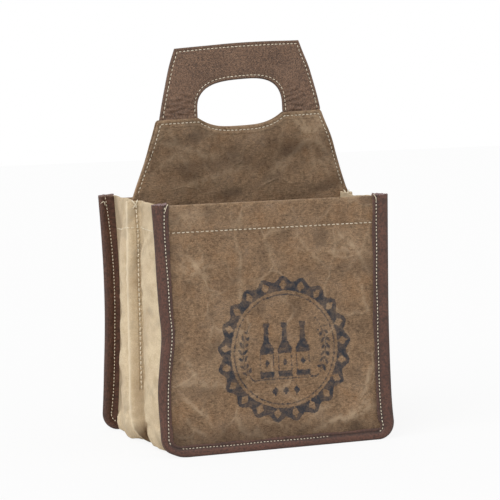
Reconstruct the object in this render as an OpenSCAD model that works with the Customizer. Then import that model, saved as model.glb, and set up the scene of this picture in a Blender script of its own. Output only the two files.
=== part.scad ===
// Six-bottle carrier of waxed canvas and leather.
// Two canvas panels, front and back, are joined by one canvas gusset that runs down the
// left side, under the base and up the right side. A folded leather strip binds each seam.
// A doubled canvas divider, caught in a tuck of the gusset on each side, parts two rows of
// three bottles and rises above the rim as the handle, which two leather pieces complete.
// X is the width, -Y the front, +Z up. The origin is on the table, under the middle.

/* [Bag] */
// Width over the leather bindings
panel_w = 220; // [190:1:280]
// Height of the canvas rim above the table
rim_h = 217; // [180:1:280]
// Depth over front and back at the rim
rim_d = 145; // [125:1:155]
// Depth over front and back at the table
base_d = 162; // [150:1:185]
// Outer radius of the two lower corners of a panel
corner_r = 20; // [17:0.5:26]
// Height of the hems along the rim
hem_h = 25; // [15:1:40]

/* [Materials] */
// Thickness of the canvas of the panels
panel_t = 1.2; // [0.8:0.1:1.8]
// Thickness of the canvas of the gusset
gusset_t = 1.1; // [0.8:0.1:1.6]
// Thickness of each of the divider's two canvas layers
divider_t = 1.1; // [0.8:0.1:1.8]
// Thickness of the leather of the bindings
binding_t = 1.3; // [0.8:0.1:2]
// Thickness of each of the handle's two leather layers
grip_t = 1.7; // [1.2:0.1:3]
// Width of the sewing thread where it lies on a surface
thread_w = 0.9; // [0.6:0.1:1.4]
// How far the sewing thread stands proud of a surface
thread_proud = 0.35; // [0.2:0.05:0.6]

/* [Bindings] */
// Width of a binding on a panel's outer face, along the sides
binding_w = 14.5; // [13.5:0.5:20]
// Width of a binding on a panel's outer face, along the foot
binding_foot_w = 10.5; // [9.5:0.5:14]
// How far a binding's cut ends stand above the rim
binding_rise = 2.5; // [1:0.5:5]
// Distance of the seam from a binding's fold, along the sides
seam_in = 10.5; // [8:0.1:10.8]
// Distance of the seam from a binding's fold, along the foot
seam_foot_in = 7.5; // [5:0.1:7.7]

/* [Gusset] */
// How far the gusset's side walls stand in from the bindings' folds
gusset_in = 13; // [12.8:0.1:15]
// How far the gusset's floor seam stands up from the bindings' folds
gusset_foot_in = 9.5; // [9.4:0.1:12]
// How far a side wall bulges out between a seam and the tuck
lobe_d = 13; // [8:0.5:15]
// How far the tuck stands out of a side wall
tuck_d = 12; // [10:0.5:14]
// Height above the table at which the seam of the tuck ends
tuck_end_h = 49; // [45:1:60]
// Distance of the tuck's seam from the side wall
tuck_seam_off = 3; // [2:0.1:5]

/* [Divider] */
// Height of the divider's lower edge above the table
divider_foot_h = 44; // [30:1:44]
// How far the divider's edges reach into the tucks
divider_reach = 7; // [5:0.5:7]
// How far the canvas stands in from the bag's sides where it rises over the rim
neck_in = 8.5; // [6:0.5:18]
// Width of the canvas at its shoulders
shoulder_w = 158.5; // [150:0.5:180]
// Height of the canvas shoulders above the rim
shoulder_h = 72; // [60:1:90]
// How far the canvas edge dips between the shoulders
dip_d = 10; // [4:0.5:14]

/* [Handle] */
// Height of the handle's top corners above the rim
handle_h = 135; // [125:1:170]
// How far the handle's top edge arches above its corners
handle_arch = 1.3; // [0:0.1:6]
// Width of the handle at its top corners
handle_top_w = 118.5; // [100:0.5:136]
// Width over the handle's legs at the canvas shoulders
handle_foot_w = 154; // [140:0.5:154]
// How far the slanted sides bow outwards
side_bow = 1.3; // [0:0.1:4]
// How far the leather legs reach down between the canvas layers
leg_reach = 20; // [12:1:26]
// Width of the hand hole
hole_w = 82; // [70:1:94]
// Height of the leather above the hand hole
grip_h = 31; // [24:1:40]
// Distance of the handle's seams from its edges
edge_seam_in = 3.8; // [2.5:0.1:6]

/* [Hidden] */

// Colours of the materials
waxed_canvas = "#826a55";
beige_canvas = "#cdb99b";
binding_leather = "#5a443d";
grip_leather = "#6f594b";
cream_thread = "#d9cbb0";

// Facets of a full turn on round edges
round_fn = 64;
// Clearance between layers that are sewn together
ply_gap = 0.1;
// Clearance between a soft piece and what it doesn't touch
seat_gap = 0.3;
// Length by which a cut runs past what it cuts
overrun = 5;
// Hem layers stop this far short of a binding
hem_gap = 1;

// Lean of the front and back panels, which come closer together towards the rim
lean = atan((base_d - rim_d) / 2 / rim_h);
// Length of a panel along its own leaning face
panel_h = rim_h / cos(lean);
// Thickness of the layers inside a binding, and of the binding round them
bound_t = panel_t + gusset_t + 3 * ply_gap;
stack_t = bound_t + 2 * binding_t;
// Depth in a panel's own frame of the canvas, of the gusset's flange and its middle
panel_y = binding_t + ply_gap;
flange_y = panel_y + panel_t + ply_gap;
flange_mid_y = flange_y + gusset_t / 2;
// Width of a binding on its inner side, where the gusset leaves the seam
leg_gap = 2 * seat_gap;
inner_leg_w = gusset_in - gusset_t / 2 - leg_gap;
inner_leg_foot_w = gusset_foot_in - gusset_t / 2 - leg_gap;

// The gusset's side walls, its lower corners and its floor
wall_x = panel_w / 2 - gusset_in;
wall_r = 8 * corner_r / 20;
floor_x = wall_x - wall_r;
floor_z = gusset_foot_in;
bend_z = floor_z + wall_r;
flange_r = corner_r - binding_t - ply_gap;
flange_centre = [-(panel_w / 2 - corner_r), corner_r];
wall_centre = [-floor_x, bend_z];
// Width of the canvas where it rises over the rim
neck_w = panel_w - 2 * neck_in;
// Half the width of the tuck between the middles of its two layers
tuck_half = divider_t + ply_gap / 2 + 2 * ply_gap + gusset_t / 2;
// Radius at which the gusset turns from a flange into a wall
turn_r = 1.1 * gusset_t;
// Depth from the flange at which a wall is clear of the binding
clear_y = gusset_t / 2 + binding_t + ply_gap + leg_gap;
// The floor sags until it nearly rests on the table
floor_drop = gusset_foot_in - gusset_t / 2 - seat_gap;
// The wall may not turn sharper than this where it meets the tuck
valley_y = 2.8 * gusset_t;
// Places on the tuck's side, from its root, at 0, to its fold, at 1
tuck_root_share = 0.1;
tuck_side_share = 0.6;
tuck_tip_share = 0.9;
// Share of the tuck's width that is left near its fold
tip_width_share = 0.6;
// The tuck's sides draw in by this much from root to side
tuck_taper = 0.4 * gusset_t;

// The fold of the divider and the handle above it
rim_over = 2 * divider_t;
fold_low = rim_h - seat_gap;
axis_z = rim_h + rim_over - seat_gap / 2;
fold_high = 2 * axis_z - fold_low;
shoulder_z = rim_h + shoulder_h;
handle_z = rim_h + handle_h;
leg_foot_z = shoulder_z - leg_reach;
hole_top_z = handle_z + handle_arch - grip_h;
hole_bend_z = shoulder_z + 4 * hole_w / 82;
// The canvas layers part over this height, from each other to the leather between them
spread_low_z = leg_foot_z - leg_reach;
spread_high_z = leg_foot_z - 3 * ply_gap;
layer_y = ply_gap / 2;
spread_y = ply_gap / 2 + grip_t + ply_gap;

// Shares of the lobes, the valleys beside the tuck, the tuck's depth and its width, first
// at the heights of the side wall, then round the lower corner
high_shares = [1, 0.75, 0.5, 0.25, 0.1, 0];
high_lobe_shares = [0.72, 0.9, 1, 1, 1, 1];
low_shares = [0.6, 0.25];
low_lobe_shares = [0.78, 0.66];
low_valley_shares = [0.3, 0.42];
low_tuck_shares = [1.16, 1.02];
low_width_shares = [1.5, 2.2];
bend_angles = [0, 22.5, 45, 67.5, 90];
bend_lobe_shares = [0.6, 0.6, 0.58, 0.45, 0.3];
bend_valley_shares = [0.48, 0.46, 0.42, 0.45, 0.5];
bend_tuck_shares = [0.76, 0.56, 0.4, 0.42, 0.46];
bend_width_shares = [2.8, 3.6, 4.4, 5.2, 6];
rim_lobe_share = 0.58;
floor_shares = [-1, -0.75, -0.35, 0, 0.35, 0.75, 1];
// Places across a wall from its seam, at 0, to the tuck, at 1
across_shares = [0.08, 0.18, 0.3, 0.44, 0.6, 0.78, 0.92];
// The lobes are fullest nearer the seam than the tuck
lobe_skew_share = 0.7;

function lerp(a, b, t) = a + (b - a) * t;
function reversed(list) = [for (i = [len(list) - 1 : -1 : 0]) list[i]];
function unit(v) = v / norm(v);

// Direction across an open line of 2D points, at point i
function across(pts, i) =
    let (a = pts[max(i - 1, 0)], b = pts[min(i + 1, len(pts) - 1)], d = unit(b - a))
    [-d[1], d[0]];

// A line of 2D points moved sideways by d
function beside(pts, d) = [for (i = [0 : len(pts) - 1]) pts[i] + d * across(pts, i)];

// A flat band of width w that follows a line of 2D points
module band(pts, w) {
    polygon(concat(beside(pts, w / 2), reversed(beside(pts, -w / 2))));
}

// Outline of a panel: straight at the top, round at the two lower corners
module pocket_outline(w, h, r) {
    translate([-w / 2, r]) square([w, h - r]);
    translate([-w / 2 + r, 0]) square([w - 2 * r, r]);
    for (side = [-1, 1])
        translate([side * (w / 2 - r), r]) circle(r, $fn = round_fn);
}

// The same outline, drawn in from the binding's fold by one distance at the sides and
// another along the foot
module inset_outline(side, foot, h) {
    translate([0, foot])
        pocket_outline(panel_w - 2 * side, h - foot, corner_r - max(side, foot));
}

// Stands a flat shape up in a panel's frame, from depth y to depth y + t
module upright(y, t) {
    translate([0, y + t, 0]) rotate([90, 0, 0]) linear_extrude(t) children();
}

// Frame of the front panel: X across, Z up its face, Y into the bag
module front_frame() {
    translate([0, -base_d / 2, 0]) rotate([-lean, 0, 0]) children();
}

module back_side() {
    mirror([0, 1, 0]) children();
}

// Canvas panel with its top edge folded in and hemmed
module canvas_panel() {
    hem_w = panel_w - 2 * (binding_w + hem_gap);
    edge = binding_t + ply_gap;
    upright(panel_y, panel_t) inset_outline(edge, edge, panel_h);
    upright(panel_y, 2 * panel_t)
        translate([-hem_w / 2, panel_h - hem_h]) square([hem_w, hem_h]);
}

module front_panel() {
    color(waxed_canvas) front_frame() canvas_panel();
}

module back_panel() {
    color(waxed_canvas) back_side() front_frame() canvas_panel();
}

// Part of a binding between its fold and an inner edge
module binding_band(side, foot) {
    difference() {
        pocket_outline(panel_w, panel_h + binding_rise, corner_r);
        inset_outline(side, foot, panel_h + binding_rise + overrun);
    }
}

// Leather strip folded over the seam, down one side, along the foot and up the other
module leather_binding() {
    difference() {
        union() {
            upright(0, binding_t) binding_band(binding_w, binding_foot_w);
            upright(0, stack_t) binding_band(binding_t, binding_t);
            upright(stack_t - binding_t, binding_t)
                binding_band(inner_leg_w, inner_leg_foot_w);
        }
        rotate([lean, 0, 0]) translate([-panel_w, -stack_t, -overrun])
            cube([2 * panel_w, 3 * stack_t, overrun]);
    }
}

module front_binding() {
    color(binding_leather) front_frame() leather_binding();
}

module back_binding() {
    color(binding_leather) back_side() front_frame() leather_binding();
}

// Line of the binding's seam, from the top left round the foot to the top right
function seam_line() =
    let (r = corner_r - seam_in, x = panel_w / 2 - seam_in, top = panel_h)
    concat([[-x, top]],
        [for (a = [0 : 15 : 90]) [-x + r - r * cos(a), seam_foot_in + r - r * sin(a)]],
        [for (a = [90 : -15 : 0]) [x - r + r * cos(a), seam_foot_in + r - r * sin(a)]],
        [[x, top]]);

// Thread on both faces of a binding
module binding_thread() {
    for (y = [-thread_proud, stack_t])
        upright(y, thread_proud) band(seam_line(), thread_w);
}

module front_binding_thread() {
    color(cream_thread) front_frame() binding_thread();
}

module back_binding_thread() {
    color(cream_thread) back_side() front_frame() binding_thread();
}

// Thread of the rim's hem, outside and inside the panel
module hem_thread() {
    hem_w = panel_w - 2 * (binding_w + hem_gap);
    for (y = [panel_y - thread_proud, panel_y + 2 * panel_t])
        upright(y, thread_proud)
            translate([-hem_w / 2, panel_h - hem_h + thread_w]) square([hem_w, thread_w]);
}

module front_hem_thread() {
    color(cream_thread) front_frame() hem_thread();
}

module back_hem_thread() {
    color(cream_thread) back_side() front_frame() hem_thread();
}

// The gusset is a strip of canvas that follows the bag's outline. A station is one place
// along it: its root beside the seam, the outward direction there, the flange's width,
// and the depths of the lobes, of the valleys beside the tuck and of the tuck, with half
// the tuck's width.
function wall_station(z, lobe, valley, tuck, width) =
    [[-wall_x, z], [-1, 0], gusset_in - binding_t - ply_gap,
     lobe * lobe_d, valley * lobe_d, tuck * tuck_d, width * tuck_half];

function bend_station(a, lobe, valley, tuck, width) =
    let (out = [-cos(a), -sin(a)])
    [wall_centre + wall_r * out, out,
     flange_r - wall_r + (flange_centre - wall_centre) * out,
     lobe * lobe_d, valley * lobe_d, tuck * tuck_d, width * tuck_half];

function floor_station(share) =
    let (last = len(bend_angles) - 1, edge = abs(share) == 1)
    [[share * floor_x, floor_z], [0, -1], gusset_foot_in - binding_t - ply_gap,
     edge ? bend_lobe_shares[last] * lobe_d : 0,
     edge ? bend_valley_shares[last] * lobe_d : floor_drop,
     edge ? bend_tuck_shares[last] * tuck_d : floor_drop,
     bend_width_shares[last] * tuck_half];

function high_z(i) = lerp(tuck_end_h, rim_h - hem_h, high_shares[i]);
function low_z(i) = lerp(bend_z, tuck_end_h, low_shares[i]);

side_stations = concat(
    [wall_station(rim_h, rim_lobe_share, 0, 1, 1)],
    [for (i = [0 : len(high_shares) - 1])
        wall_station(high_z(i), high_lobe_shares[i], 0, 1, 1)],
    [for (i = [0 : len(low_shares) - 1])
        wall_station(low_z(i), low_lobe_shares[i], low_valley_shares[i],
            low_tuck_shares[i], low_width_shares[i])],
    [for (i = [0 : len(bend_angles) - 1])
        bend_station(bend_angles[i], bend_lobe_shares[i], bend_valley_shares[i],
            bend_tuck_shares[i], bend_width_shares[i])]);
floor_stations = [for (share = floor_shares) floor_station(share)];

// Half the depth between the middles of the two flanges, at height z
function flange_half(z) = base_d / 2 - z * tan(lean) - flange_mid_y / cos(lean);

// Depth of a lobe at place t across the wall, and the slope of a wall that only drops
function lobe_curve(t) = sin(180 * pow(t, lobe_skew_share));
function drop_curve(t) = 1 - pow(1 - t, 3);

// Furthest that a station's canvas may stand out before it meets the table
function reach_limit(st) =
    st[1][1] < -0.1 ? (st[0][1] - gusset_t / 2 - seat_gap) / -st[1][1] : 2 * tuck_d;

// Half of a station's line from the flange's edge to the tuck, as points of depth from
// the bag's middle and distance out from the root
function half_line(st) =
    let (z = st[0][1],
         y0 = flange_half(z),
         y_edge = flange_half(z + st[2] * st[1][1]),
         limit = reach_limit(st),
         y1 = st[6] + valley_y,
         rise = st[5] - st[4],
         start = y0 - clear_y)
    concat(
        [[y_edge, st[2]], [lerp(y_edge, y0, 0.5), st[2] / 2], [y0, turn_r],
         [y0 - 0.3 * turn_r, 0.3 * turn_r], [y0 - turn_r, 0], [start, 0]],
        [for (t = across_shares)
            [lerp(start, y1, t),
             min(limit, st[3] * lobe_curve(t) + st[4] * drop_curve(t))]],
        [[y1, min(limit, st[4])],
         [st[6] + tuck_taper, min(limit, st[4] + tuck_root_share * rise)],
         [st[6], min(limit, st[4] + tuck_side_share * rise)],
         [tip_width_share * st[6], min(limit, st[4] + tuck_tip_share * rise)]]);

// The whole line, from the front flange over the tuck to the back flange
function full_line(st) =
    let (half = half_line(st))
    concat([for (p = half) [-p[0], p[1]]],
           [[0, min(reach_limit(st), st[5])]],
           reversed(half));

// Puts a point of a station's line in the bag
function placed(st, p) =
    [st[0][0] + p[1] * st[1][0], p[0], st[0][1] + p[1] * st[1][1]];

// Ring round the canvas of a station, between two distances from its middle, and between
// two of the line's points
function ring(st, inner, outer, first, last) =
    let (line = full_line(st),
         out_line = beside(line, outer),
         in_line = beside(line, inner))
    concat([for (i = [first : last]) placed(st, out_line[i])],
           [for (i = [last : -1 : first]) placed(st, in_line[i])]);

// Closed strip through a row of rings, which all have the same number of points
module strip(rings) {
    n = len(rings[0]);
    last = (len(rings) - 1) * n;
    points = [for (r = rings) each r];
    sides = [for (i = [0 : len(rings) - 2]) for (j = [0 : n - 1])
        let (a = i * n + j, b = i * n + (j + 1) % n)
        each [[a, a + n, b + n], [a, b + n, b]]];
    caps = [for (j = [0 : n / 2 - 2])
        each [[j, j + 1, n - 2 - j], [j, n - 2 - j, n - 1 - j],
              [last + j, last + n - 2 - j, last + j + 1],
              [last + j, last + n - 1 - j, last + n - 2 - j]]];
    polyhedron(points, concat(sides, caps));
}

line_last = len(full_line(side_stations[0])) - 1;

module canvas_strip(stations) {
    strip([for (st = stations) ring(st, -gusset_t / 2, gusset_t / 2, 0, line_last)]);
}

module gusset_left() {
    color(beige_canvas) canvas_strip(side_stations);
}

module gusset_right() {
    color(beige_canvas) mirror([1, 0, 0]) canvas_strip(side_stations);
}

module gusset_base() {
    color(beige_canvas) canvas_strip(floor_stations);
}

// Thread of the gusset's hem, which crosses the lobes and the tuck below the rim
module gusset_hem_thread() {
    first = 6;
    lobe = high_lobe_shares[0];
    low = gusset_t / 2 + ply_gap;
    strip([for (z = [rim_h - hem_h + thread_w, rim_h - hem_h])
        ring(wall_station(z, lobe, 0, 1, 1), low, low + thread_proud,
            first, line_last - first)]);
}

module left_gusset_hem_thread() {
    color(cream_thread) gusset_hem_thread();
}

module right_gusset_hem_thread() {
    color(cream_thread) mirror([1, 0, 0]) gusset_hem_thread();
}

// Half the width of the tuck at distance b from the side wall, between root and side
function tuck_side_y(b) =
    let (t = (b / tuck_d - tuck_root_share) / (tuck_side_share - tuck_root_share))
    tuck_half + lerp(tuck_taper, 0, t);

// Thread of the tuck, on the tuck's front and back faces, below and above the hem's thread
module tuck_thread() {
    x = wall_x + tuck_seam_off;
    y = tuck_side_y(tuck_seam_off - thread_w / 2) + gusset_t / 2 + ply_gap;
    hem_z = rim_h - hem_h;
    for (side = [-1, 1], z = [[tuck_end_h, hem_z - thread_w], [hem_z + 2 * thread_w, rim_h]])
        translate([-x - thread_w / 2, side * (y + thread_proud / 2) - thread_proud / 2, z[0]])
            cube([thread_w, thread_proud, z[1] - z[0]]);
}

module left_tuck_thread() {
    color(cream_thread) tuck_thread();
}

module right_tuck_thread() {
    color(cream_thread) mirror([1, 0, 0]) tuck_thread();
}

// One layer of the divider, between the tucks and from its lower edge to the fold
module divider_layer() {
    w = 2 * (wall_x + divider_reach);
    translate([-w / 2, -layer_y - divider_t, divider_foot_h])
        cube([w, divider_t, fold_low - divider_foot_h]);
}

module divider_front_layer() {
    color(waxed_canvas) divider_layer();
}

module divider_back_layer() {
    color(waxed_canvas) back_side() divider_layer();
}

// Half the width of the canvas above the rim, at height z
function canvas_half(z) = lerp(neck_w, shoulder_w, (z - rim_h) / shoulder_h) / 2;

// The short stretch of doubled canvas that bends when the handle folds down
module divider_fold() {
    color(waxed_canvas)
        upright(-layer_y - divider_t, 2 * (layer_y + divider_t))
            polygon([[-canvas_half(fold_low), fold_low], [canvas_half(fold_low), fold_low],
                     [canvas_half(fold_high), fold_high],
                     [-canvas_half(fold_high), fold_high]]);
}

// Height of the canvas edge at place x: level at the shoulders, dipping in the middle
dip_power_share = 2.2;
function canvas_top(x) =
    let (t = min(1, abs(x) / (hole_w / 2)))
    shoulder_z - dip_d * (1 - pow(t, dip_power_share));

dip_shares = [-1, -0.85, -0.65, -0.45, -0.2, 0, 0.2, 0.45, 0.65, 0.85, 1];

// Outline of the handle's canvas
module canvas_outline() {
    low = fold_high + seat_gap;
    cut = 2 * divider_t;
    half = canvas_half(shoulder_z);
    polygon(concat(
        [[canvas_half(low), low], [canvas_half(shoulder_z - cut), shoulder_z - cut],
         [half - cut, shoulder_z]],
        [for (t = reversed(dip_shares)) [t * hole_w / 2, canvas_top(t * hole_w / 2)]],
        [[-half + cut, shoulder_z], [-canvas_half(shoulder_z - cut), shoulder_z - cut],
         [-canvas_half(low), low]]));
}

// Upright slice of a layer that is close to its twin below and parts to hold the leather,
// between two distances from the layer's inner face
module spread_slice(near, far) {
    top = shoulder_z + overrun;
    low = rim_h;
    line = [[layer_y, low], [layer_y, spread_low_z], [spread_y, spread_high_z],
            [spread_y, top]];
    rotate([90, 0, 90])
        translate([0, 0, -neck_w])
            linear_extrude(2 * neck_w)
                polygon(concat([for (p = line) [-p[0] - near, p[1]]],
                    reversed([for (p = line) [-p[0] - far, p[1]]])));
}

// One canvas layer of the handle
module handle_canvas() {
    intersection() {
        spread_slice(0, divider_t);
        upright(-overrun - grip_t - divider_t, overrun + grip_t + divider_t)
            canvas_outline();
    }
}

module handle_canvas_front() {
    color(waxed_canvas) handle_canvas();
}

module handle_canvas_back() {
    color(waxed_canvas) back_side() handle_canvas();
}

// Half the width of the leather at height z, less an inset
function leather_half(z, inset) =
    let (t = (z - shoulder_z) / (handle_z - shoulder_z))
    lerp(handle_foot_w, handle_top_w, t) / 2 + 4 * side_bow * t * (1 - max(t, 0)) - inset;

// Height of the handle's top edge at place x, less an inset
function leather_top(x, inset) =
    handle_z + handle_arch * (1 - pow(2 * x / handle_top_w, 2)) - inset;

leg_shares = [0, 0.2, 0.4, 0.6, 0.8, 1];
top_shares = [1, 0.5, 0, -0.5, -1];

// Outer edge of the handle from its right foot over the top to its left foot
function leather_edge(foot_z, inset) =
    let (high = handle_z - inset, x_top = leather_half(high, inset),
         right = [for (t = leg_shares)
            let (z = lerp(foot_z, high, t)) [leather_half(z, inset), z]])
    concat(right,
        [for (i = [1 : len(top_shares) - 2])
            [top_shares[i] * x_top, leather_top(top_shares[i] * x_top, inset)]],
        [for (p = reversed(right)) [-p[0], p[1]]]);

// Edge of the hand hole in the leather from right to left: straight legs, then a
// flattened arch, each point x^3 + z^3 = 1 in shares of the half width and the height
hole_angles = [0, 15, 30, 45, 60, 75, 90, 105, 120, 135, 150, 165, 180];
hole_power_share = 2 / 3;
function hole_edge(foot_z, grow) =
    concat([[hole_w / 2 + grow, foot_z]],
        [for (a = hole_angles)
            [sign(cos(a)) * pow(abs(cos(a)), hole_power_share) * (hole_w / 2 + grow),
             hole_bend_z + pow(sin(a), hole_power_share)
                * (hole_top_z - hole_bend_z + grow)]],
        [[-hole_w / 2 - grow, foot_z]]);

// Leather layer of the handle, an arch whose legs reach down between the canvas layers
module leather_layer() {
    upright(-layer_y - grip_t, grip_t)
        difference() {
            polygon(leather_edge(leg_foot_z, 0));
            polygon(hole_edge(leg_foot_z - overrun, 0));
        }
}

module handle_leather_front() {
    color(grip_leather) leather_layer();
}

module handle_leather_back() {
    color(grip_leather) back_side() leather_layer();
}

// Height at which the leather's own seams begin, just above the canvas edge
seam_foot_z = shoulder_z + seat_gap;

// Thread along the handle's outer edge, on both faces
module handle_edge_thread() {
    color(cream_thread)
        for (y = [-layer_y - grip_t - thread_proud, layer_y + grip_t])
            upright(y, thread_proud) band(leather_edge(seam_foot_z, edge_seam_in), thread_w);
}

// Thread round the hand hole, on both faces of the leather
module hand_hole_thread() {
    color(cream_thread)
        for (y = [-layer_y - grip_t - thread_proud, layer_y + grip_t])
            upright(y, thread_proud) band(hole_edge(seam_foot_z, edge_seam_in), thread_w);
}

// Seam of the canvas: up one slanted side, along the dipping edge, down the other
function canvas_seam() =
    let (low = fold_high + seat_gap, high = shoulder_z - edge_seam_in,
         half = hole_w / 2)
    concat([[canvas_half(low) - edge_seam_in, low],
            [canvas_half(high) - edge_seam_in, high]],
        [for (t = reversed(dip_shares)) [t * half, canvas_top(t * half) - edge_seam_in]],
        [[edge_seam_in - canvas_half(high), high],
         [edge_seam_in - canvas_half(low), low]]);

module canvas_edge_thread() {
    color(cream_thread)
        for (side = [0, 1])
            mirror([0, side, 0])
                intersection() {
                    spread_slice(divider_t, divider_t + thread_proud);
                    upright(-overrun - grip_t - divider_t, overrun + grip_t + divider_t)
                        band(canvas_seam(), thread_w);
                }
}

front_panel();
back_panel();
gusset_left();
gusset_right();
gusset_base();
front_binding();
back_binding();
divider_front_layer();
divider_back_layer();
divider_fold();
handle_canvas_front();
handle_canvas_back();
handle_leather_front();
handle_leather_back();
front_binding_thread();
back_binding_thread();
front_hem_thread();
back_hem_thread();
left_gusset_hem_thread();
right_gusset_hem_thread();
left_tuck_thread();
right_tuck_thread();
handle_edge_thread();
hand_hole_thread();
canvas_edge_thread();
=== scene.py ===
# %% [markdown]
# # A six-bottle carrier of waxed canvas and leather
# The real bag is sewn from flat cuts: two canvas panels, one long gusset, a doubled
# divider that rises as the handle, two leather strips that bind the seams and two leather
# arches. Every piece below is such a cut, bent in code to where the sewing holds it.
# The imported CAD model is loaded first, because it fixes where each piece has to be.
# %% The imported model
import math

import bpy
import numpy as np
from mathutils import Matrix


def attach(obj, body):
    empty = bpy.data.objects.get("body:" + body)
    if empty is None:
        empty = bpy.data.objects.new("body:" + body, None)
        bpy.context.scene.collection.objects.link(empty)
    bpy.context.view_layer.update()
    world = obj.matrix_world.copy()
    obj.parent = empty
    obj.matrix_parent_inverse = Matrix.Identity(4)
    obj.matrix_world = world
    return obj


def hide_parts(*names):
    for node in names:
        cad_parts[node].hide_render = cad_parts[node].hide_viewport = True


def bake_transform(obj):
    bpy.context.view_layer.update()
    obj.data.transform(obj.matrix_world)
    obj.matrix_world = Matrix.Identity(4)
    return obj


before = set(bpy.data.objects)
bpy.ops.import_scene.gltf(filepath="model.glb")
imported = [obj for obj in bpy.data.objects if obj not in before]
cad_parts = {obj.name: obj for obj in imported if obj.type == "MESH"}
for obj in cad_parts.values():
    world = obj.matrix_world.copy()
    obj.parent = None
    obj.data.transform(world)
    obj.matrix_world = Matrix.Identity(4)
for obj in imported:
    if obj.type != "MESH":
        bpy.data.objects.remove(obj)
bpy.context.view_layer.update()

# %% [markdown]
# ## Sizes
# The sizes repeat those of the CAD source, in millimetres, and are turned into metres only
# when a mesh is made. A maker's pattern gives the same numbers: the width over the
# bindings, the height of the rim, and how far the front and back lean together.
# %% Sizes of the bag, in millimetres
MM = 0.001
PANEL_W, RIM_H, RIM_D, BASE_D = 220.0, 217.0, 145.0, 162.0
CORNER_R, HEM_H = 20.0, 25.0
PANEL_T, GUSSET_T, DIVIDER_T, BINDING_T, GRIP_T = 1.2, 1.1, 1.1, 1.3, 1.7
LEAN = math.atan((BASE_D - RIM_D) / 2 / RIM_H)
PANEL_H = RIM_H / math.cos(LEAN)
print(f"panel {PANEL_W:.0f} x {PANEL_H:.1f} mm, leaning {math.degrees(LEAN):.2f} degrees")

# %% [markdown]
# ## Camera
# The camera was fitted to the corners of the bag in the photograph: a long lens, two
# metres away and 370 mm above the table, that looks a little down from the left. It could
# be set by three turning angles, but their order is easy to mistake. Here its three axes
# are worked out as vectors and put into one matrix.
# %% Camera at the photograph's place
AZIMUTH, YAW, PITCH, ROLL = np.radians([21.783, 0.192, 5.743, -1.012])
CAMERA_DISTANCE, CAMERA_HEIGHT = 2005.3, 369.2
FOCAL_PX, PHOTO_PX, SENSOR_W = 2243.695, 500, 36
turn = AZIMUTH + YAW
ahead = np.array([math.sin(turn) * math.cos(PITCH), math.cos(turn) * math.cos(PITCH),
                  -math.sin(PITCH)])
level = np.cross(ahead, [0, 0, 1])
level /= np.linalg.norm(level)
upward = np.cross(level, ahead)
camera_x = level * math.cos(ROLL) + upward * math.sin(ROLL)
camera_y = upward * math.cos(ROLL) - level * math.sin(ROLL)
place = MM * np.array([-math.sin(AZIMUTH) * CAMERA_DISTANCE,
                       -math.cos(AZIMUTH) * CAMERA_DISTANCE, CAMERA_HEIGHT])
lens = bpy.data.cameras.new("camera")
lens.sensor_width = SENSOR_W
lens.lens = SENSOR_W * (FOCAL_PX / PHOTO_PX)
camera = bpy.data.objects.new("camera", lens)
camera.matrix_world = Matrix([[*row, at] for row, at in
                              zip(np.stack([camera_x, camera_y, -ahead], 1), place)]
                             + [[0, 0, 0, 1]])
bpy.context.scene.collection.objects.link(camera)
bpy.context.scene.camera = camera
bpy.context.scene.view_settings.view_transform = "Standard"
print(f"camera at {place.round(3)}, lens {lens.lens:.1f} mm")

# %% [markdown]
# ## Surfaces from arrays
# Cloth and leather are thin sheets, so each piece is a grid of points for its outside and
# one for its inside, closed by a strip round the edge. A Solidify modifier could thicken
# a single grid, but evenly, and leather is squeezed thin where it is sewn. Whole arrays
# are computed at once, which stays quick with a million points.
# %% Curves through points
def smooth_line(points, knots, at):
    """Cubic curve through points at knots, read at other places. At a knot its slope is
    that of the line between both neighbours, weighted by their distance."""
    points, knots, at = (np.asarray(x, float) for x in (points, knots, at))
    slope = np.gradient(points, knots, axis=0)
    i = np.clip(np.searchsorted(knots, at, side="right") - 1, 0, len(knots) - 2)
    shape = (-1,) + (1,) * (points.ndim - 1)
    h = (knots[i + 1] - knots[i]).reshape(shape)
    t = (at - knots[i]).reshape(shape) / h
    return ((2 * t**3 - 3 * t**2 + 1) * points[i] + (t**3 - 2 * t**2 + t) * h * slope[i]
            + (3 * t**2 - 2 * t**3) * points[i + 1] + (t**3 - t**2) * h * slope[i + 1])


def points_of(*axes):
    """Points from their coordinates, which are arrays of shapes that fit together."""
    return np.stack(np.broadcast_arrays(*axes), -1)


def unit(vectors):
    """Vectors divided by their lengths."""
    return vectors / np.maximum(np.linalg.norm(vectors, axis=-1, keepdims=True), 1e-9)


def length_along(points):
    """Length of a line of points from its start to each point: the running sum of the
    distances between neighbours."""
    return np.concatenate([[0], np.cumsum(np.linalg.norm(np.diff(points, axis=0), axis=1))])


def read_line(line, far, at):
    """Points of a line at the distances at, where far holds those of its own points."""
    return points_of(*(np.interp(at, far, axis) for axis in line.T))


def refit(run, count):
    """The same line with count points at equal steps."""
    far = length_along(run)
    return read_line(run, far, np.linspace(0, far[-1], count))


def fade(value, low, high):
    """0 at low and 1 at high, level beyond them, and 3t^2 - 2t^3 between. It falls where
    low is the greater of the two."""
    t = np.clip((value - low) / (high - low), 0, 1)
    return t * t * (3 - 2 * t)


def bump(value, middle, width):
    """1 at the middle and less to both sides: exp(-((value - middle) / width)^2)."""
    return np.exp(-((value - middle) / width)**2)


def ripples(x, y, size, seed, count=9):
    """Soft waves about size millimetres long: a sum of sines in random directions, scaled
    so that most values lie between -1 and 1. The seed makes it the same every time."""
    rng = np.random.default_rng(seed)
    way, phase = rng.uniform(0, 2 * np.pi, (2, count))
    pace = 2 * np.pi * rng.uniform(0.6, 1.5, count) / size
    x, y = np.asarray(x, float)[..., None], np.asarray(y, float)[..., None]
    return np.sin(pace * (x * np.cos(way) + y * np.sin(way)) + phase).sum(-1) / count**0.5


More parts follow.
